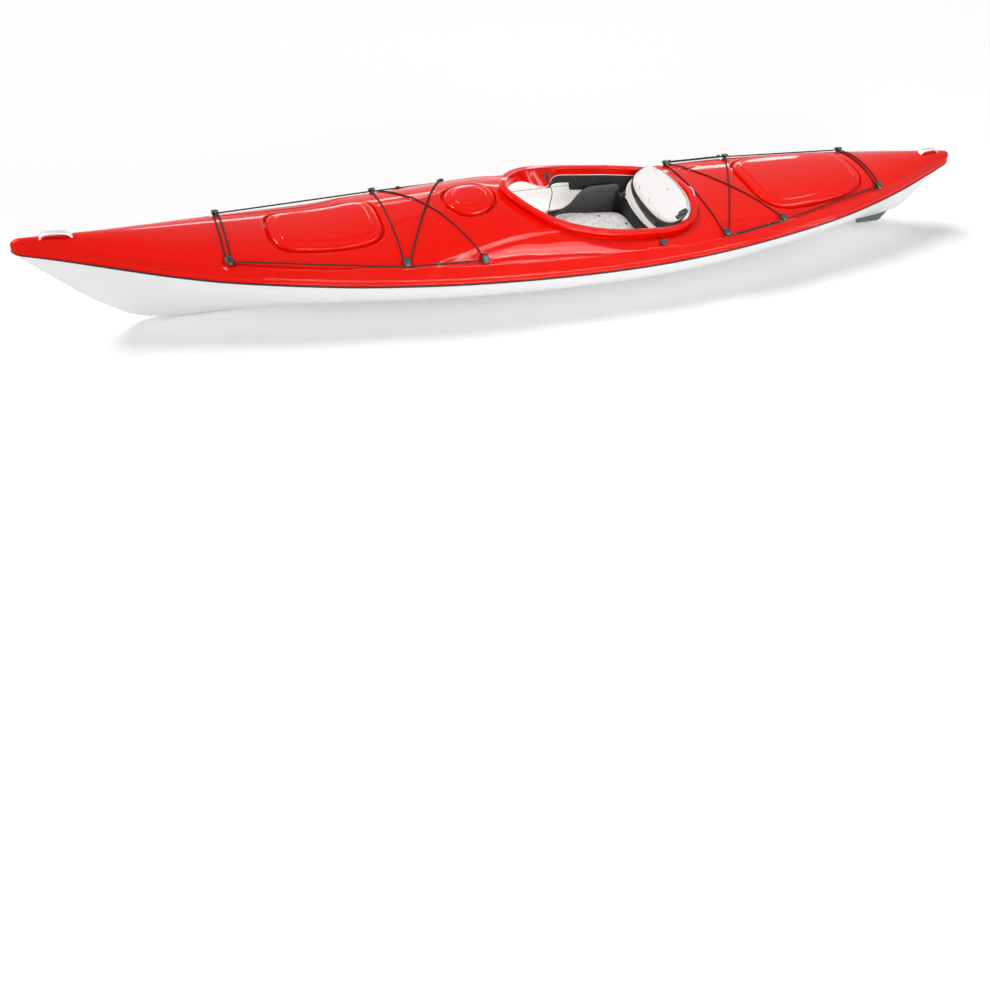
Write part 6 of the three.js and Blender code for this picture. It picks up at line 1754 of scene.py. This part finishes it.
halfBlade = skeg["thick"] / 2
makePiece("skeg_plate", *extruded(bladeOutline(), -halfBlade, halfBlade, skeg["edge"], upright),
          finish["skegGreen"], body="skeg", slot="skeg_plastic", instead=["skeg_blade"])
knob = {
    "x": cockpitBack - 0.291, "radius": 0.017, "height": 0.019, "travel": 0.06, "tail": 0.085, "thick": 0.004,
    "lift": 0.0003, "sides": 96, "flutes": 12, "depth": 0.028, "stemSides": 16,
    "stem": [(0.0003, -0.0013), (0.0023, -0.0013), (0.0023, 0.0004), (0.0003, 0.0004)],
    # waist and domed head: shares of the radius and of the height
    "head": [(0.66, 0), (0.7, 0.0008 / 0.019), (0.71, 0.24), (0.82, 0.36), (0.955, 0.46), (0.97, 0.58),
             (0.95, 0.74), (0.88, 0.88), (0.74, 0.965), (0.56, 0.99), (0.42, 0.9), (0.2, 0.85)],
    "core": 0.0004,
}
knobPlace = deckFrame(knob["x"], -float(halfBeam(knob["x"]) - fitting["inset"]))


def knobShape():
    # stem, waist and a domed, fluted head
    radius, height = knob["radius"], knob["height"]
    origin, across, out, along = knobPlace
    place = (origin + out * (knob["thick"] + knob["lift"]), across, out, along)
    profile = [(radius * wide, height * up) for wide, up in knob["head"]]
    head = [(knob["core"], 0), *profile, (knob["core"], profile[-1][1])]
    return join([latheAt(knob["stem"], place, knob["stemSides"]),
                 latheAt(head, place, knob["sides"], knob["flutes"], knob["depth"])])


makePiece("slider_knob", *knobShape(), finish["trimBlack"], body="knob", slot="black_plastic",
          instead=["skeg_knob"])
track = {
    "half": 0.011, "radius": 0.0108, "groove": 0.0036, "steps": 10,
    # outer wall, rounded top and groove wall: line, level, inset
    "levels": [("outer", -0.003, 0), ("outer", 0.0018, 0), ("outer", 0.003, 0.0006), ("outer", 0.0036, 0.002),
               ("inner", 0.0036, -0.001), ("inner", 0.0031, 0), ("inner", -0.003, 0)],
    "floorLevels": (-0.002, 0.0006), "floorShares": (0.999, 0.97),
}


def trackShape():
    # low moulded pad with a long groove, both with round ends, and the groove's floor
    front, back = -knob["travel"] - knob["radius"], knob["tail"]
    middle, half = (front + back) / 2, (back - front) / 2
    lines = {"outer": rounded(half, track["half"], track["radius"], track["steps"]),
             "inner": rounded(half - track["half"], track["groove"], track["groove"], track["steps"])}
    origin, across, out, along = knobPlace

    def at(flat, level):
        # follows the deck under it: the level is measured from the deck, not from one plane
        spot = origin + (middle + flat[:, :1]) * along + flat[:, 1:] * across
        return asPoints(spot[:, 0], spot[:, 1], level + deckHeight(spot[:, 0], spot[:, 1]))
    rings = np.stack([at(lines[key] - outwardOf(lines[key]) * inset, level)
                      for key, level, inset in track["levels"]])
    strip = np.stack([at(lines["inner"] * track["floorShares"], level) for level in track["floorLevels"]])
    return loopedGrid(rings), closedGrid(strip)


for name, (points, faces), instead in zip(("slider_track", "slider_groove"), trackShape(),
                                          (["skeg_slider_track"], ())):
    makePiece(name, points, faces, finish["deckRed"], slot="deck_plastic", instead=instead)
print("skeg and its control made")


# Solids that stay as they are: their loose triangles are joined and their edges rounded, then finished
kept = {
    "hullWhite": ["bow_bulkhead", "stern_bulkhead"],
    "podBlack": ["day_pod", "skeg_box", "foot_rail_port", "foot_rail_starboard"],
    "trimBlack": ["bow_hatch_seal", "day_hatch_seal", "stern_hatch_seal", "skeg_cable",
                  "backrest_pin_port", "backrest_pin_starboard"],
    "fittingGrey": ["foot_pedal_port", "foot_pedal_starboard"],
    "steel": ["skeg_pivot_pin"],
}
finishing = {"merge": 0.00001, "sealPressed": 0.0022, "width": 0.0008, "segments": 2, "angle": radians(32)}
for key, names in kept.items():
    for name in names:
        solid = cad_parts[name]
        solid.data.materials.clear()
        solid.data.materials.append(finish[key])
        weld = solid.modifiers.new("joined", "WELD")
        weld.merge_threshold = finishing["merge"]
        if name.endswith("_seal"):
            # the closed lid presses its seal down
            pressed = solid.modifiers.new("pressed", "DISPLACE")
            pressed.direction = "Z"
            pressed.mid_level = 0
            pressed.strength = -finishing["sealPressed"]
        if key != "hullWhite":
            bevel = solid.modifiers.new("rounded", "BEVEL")
            bevel.width = finishing["width"]
            bevel.segments = finishing["segments"]
            bevel.limit_method = "ANGLE"
            bevel.angle_limit = finishing["angle"]
            bevel.harden_normals = True
            solid.data.shade_smooth()
print("remaining solids finished")


# Studio
studio = {
    "floorHalf": 30.0, "floor": (0.97, 0.97, 0.975), "worldLevel": 0.33, "paperGlow": 0.13,
    "sunFrom": (-0.5, 0.36, 0.8), "sunLevel": 2.05, "sunSpread": 20,
    # lamps: place, target, size, and brightness of the panel itself
    "fill": {"front": ((0.4, -4.4, 1.5), (0.1, 0, 0.3), (3.6, 1.0), 7.0)},
    # panels that only show as highlights
    "sheen": {
        "wall": ((0.9, -3.9, 1.5), (0.1, 0, 0.3), (5.6, 0.9), 20.0),
        "bevel": ((0.9, -1.95, 3.1), (0.1, -0.1, 0.3), (5.6, 0.55), 17.0),
        "fore": ((-3.4, 1.7, 3.4), (-1.0, 0, 0.3), (1.8, 1.2), 12.0),
        "strip": ((0.9, -2.5, 3.3), (0.1, 0, 0.3), (5.6, 0.07), 90.0),
        "low": ((1.2, -3.3, 2.5), (0.1, 0, 0.3), (5.6, 0.05), 120.0),
        "far": ((1.2, 4.2, 1.45), (0.1, 0, 0.3), (5.6, 0.3), 9.0),
        "nose": ((-5.2, 0.1, 2.7), (-2.1, 0, 0.38), (0.8, 0.8), 90.0),
        "tail": ((4.6, -3.2, 1.2), (2.0, 0, 0.38), (1.2, 0.35), 45.0),
        "panel": ((1.3, -1.5, 3.4), (0.2, 0, 0.3), (1.5, 0.5), 12.0),
    },
}


def seenDirectly(tree):
    # 1 for what the camera sees straight, in a mirror or through a clear thing, and 0 for light on surfaces
    path = addNode(tree, "LightPath")
    most = maths(tree, "MAXIMUM", path.outputs["Is Camera Ray"], path.outputs["Is Glossy Ray"])
    return maths(tree, "MAXIMUM", most, path.outputs["Is Transmission Ray"])


floorMesh = bpy.data.meshes.new("floor")
edge = studio["floorHalf"]
floorCorners = [(-edge, -edge, 0), (edge, -edge, 0), (edge, edge, 0), (-edge, edge, 0)]
floorMesh.from_pydata(floorCorners, [], [(0, 1, 2, 3)])
floorTree, floorSkin = newFinish("floorPaper", Roughness=0.9, Specular_IOR_Level=0.1)
floorSkin["Base Color"].default_value = colour(*studio["floor"])
floorSkin["Emission Color"].default_value = colour(1, 1, 1)
floorTree.links.new(maths(floorTree, "MULTIPLY", seenDirectly(floorTree), studio["paperGlow"]),
                    floorSkin["Emission Strength"])
floorMesh.materials.append(finish["floorPaper"])
floor = placed("floor", floorMesh)

world = bpy.data.worlds.new("studio")
bpy.context.scene.world = world
world.use_nodes = True
tree = world.node_tree
background = tree.nodes["Background"].inputs
background["Color"].default_value = colour(1, 1, 1)
level = addNode(tree, "MapRange", {"Value": seenDirectly(tree)}, To_Min=studio["worldLevel"], To_Max=1.0)
tree.links.new(level.outputs[0], background["Strength"])


def facing(place, target):
    # matrix of a lamp at a place that shines on a target
    away = unit(np.array(place, float) - np.array(target, float))
    side = unit(np.cross((0.0, 0.0, 1.0), away))
    turn = np.stack([side, np.cross(away, side), away], 1)
    return Matrix.Translation(place) @ Matrix(turn.tolist()).to_4x4()


def softbox(name, place, target, size, brightness):
    # flat lamp: its power is its brightness times its area times pi
    data = bpy.data.lights.new(name, "AREA")
    data.shape = "RECTANGLE"
    data.size, data.size_y = size
    data.energy = brightness * size[0] * size[1] * np.pi
    lamp = placed(name, data)
    lamp.matrix_world = facing(place, target)
    lamp.visible_camera = False
    return lamp


for key in ("fill", "sheen"):
    for name, values in studio[key].items():
        softbox(f"{key}_{name}", *values).visible_diffuse = key == "fill"
sunData = bpy.data.lights.new("sun", "SUN")
sunData.energy = studio["sunLevel"]
sunData.angle = radians(studio["sunSpread"])
placed("sun", sunData).matrix_world = facing(studio["sunFrom"], (0, 0, 0))
print("studio lit")

bpy.context.scene.view_settings.view_transform = "Standard"
print("scene ready")
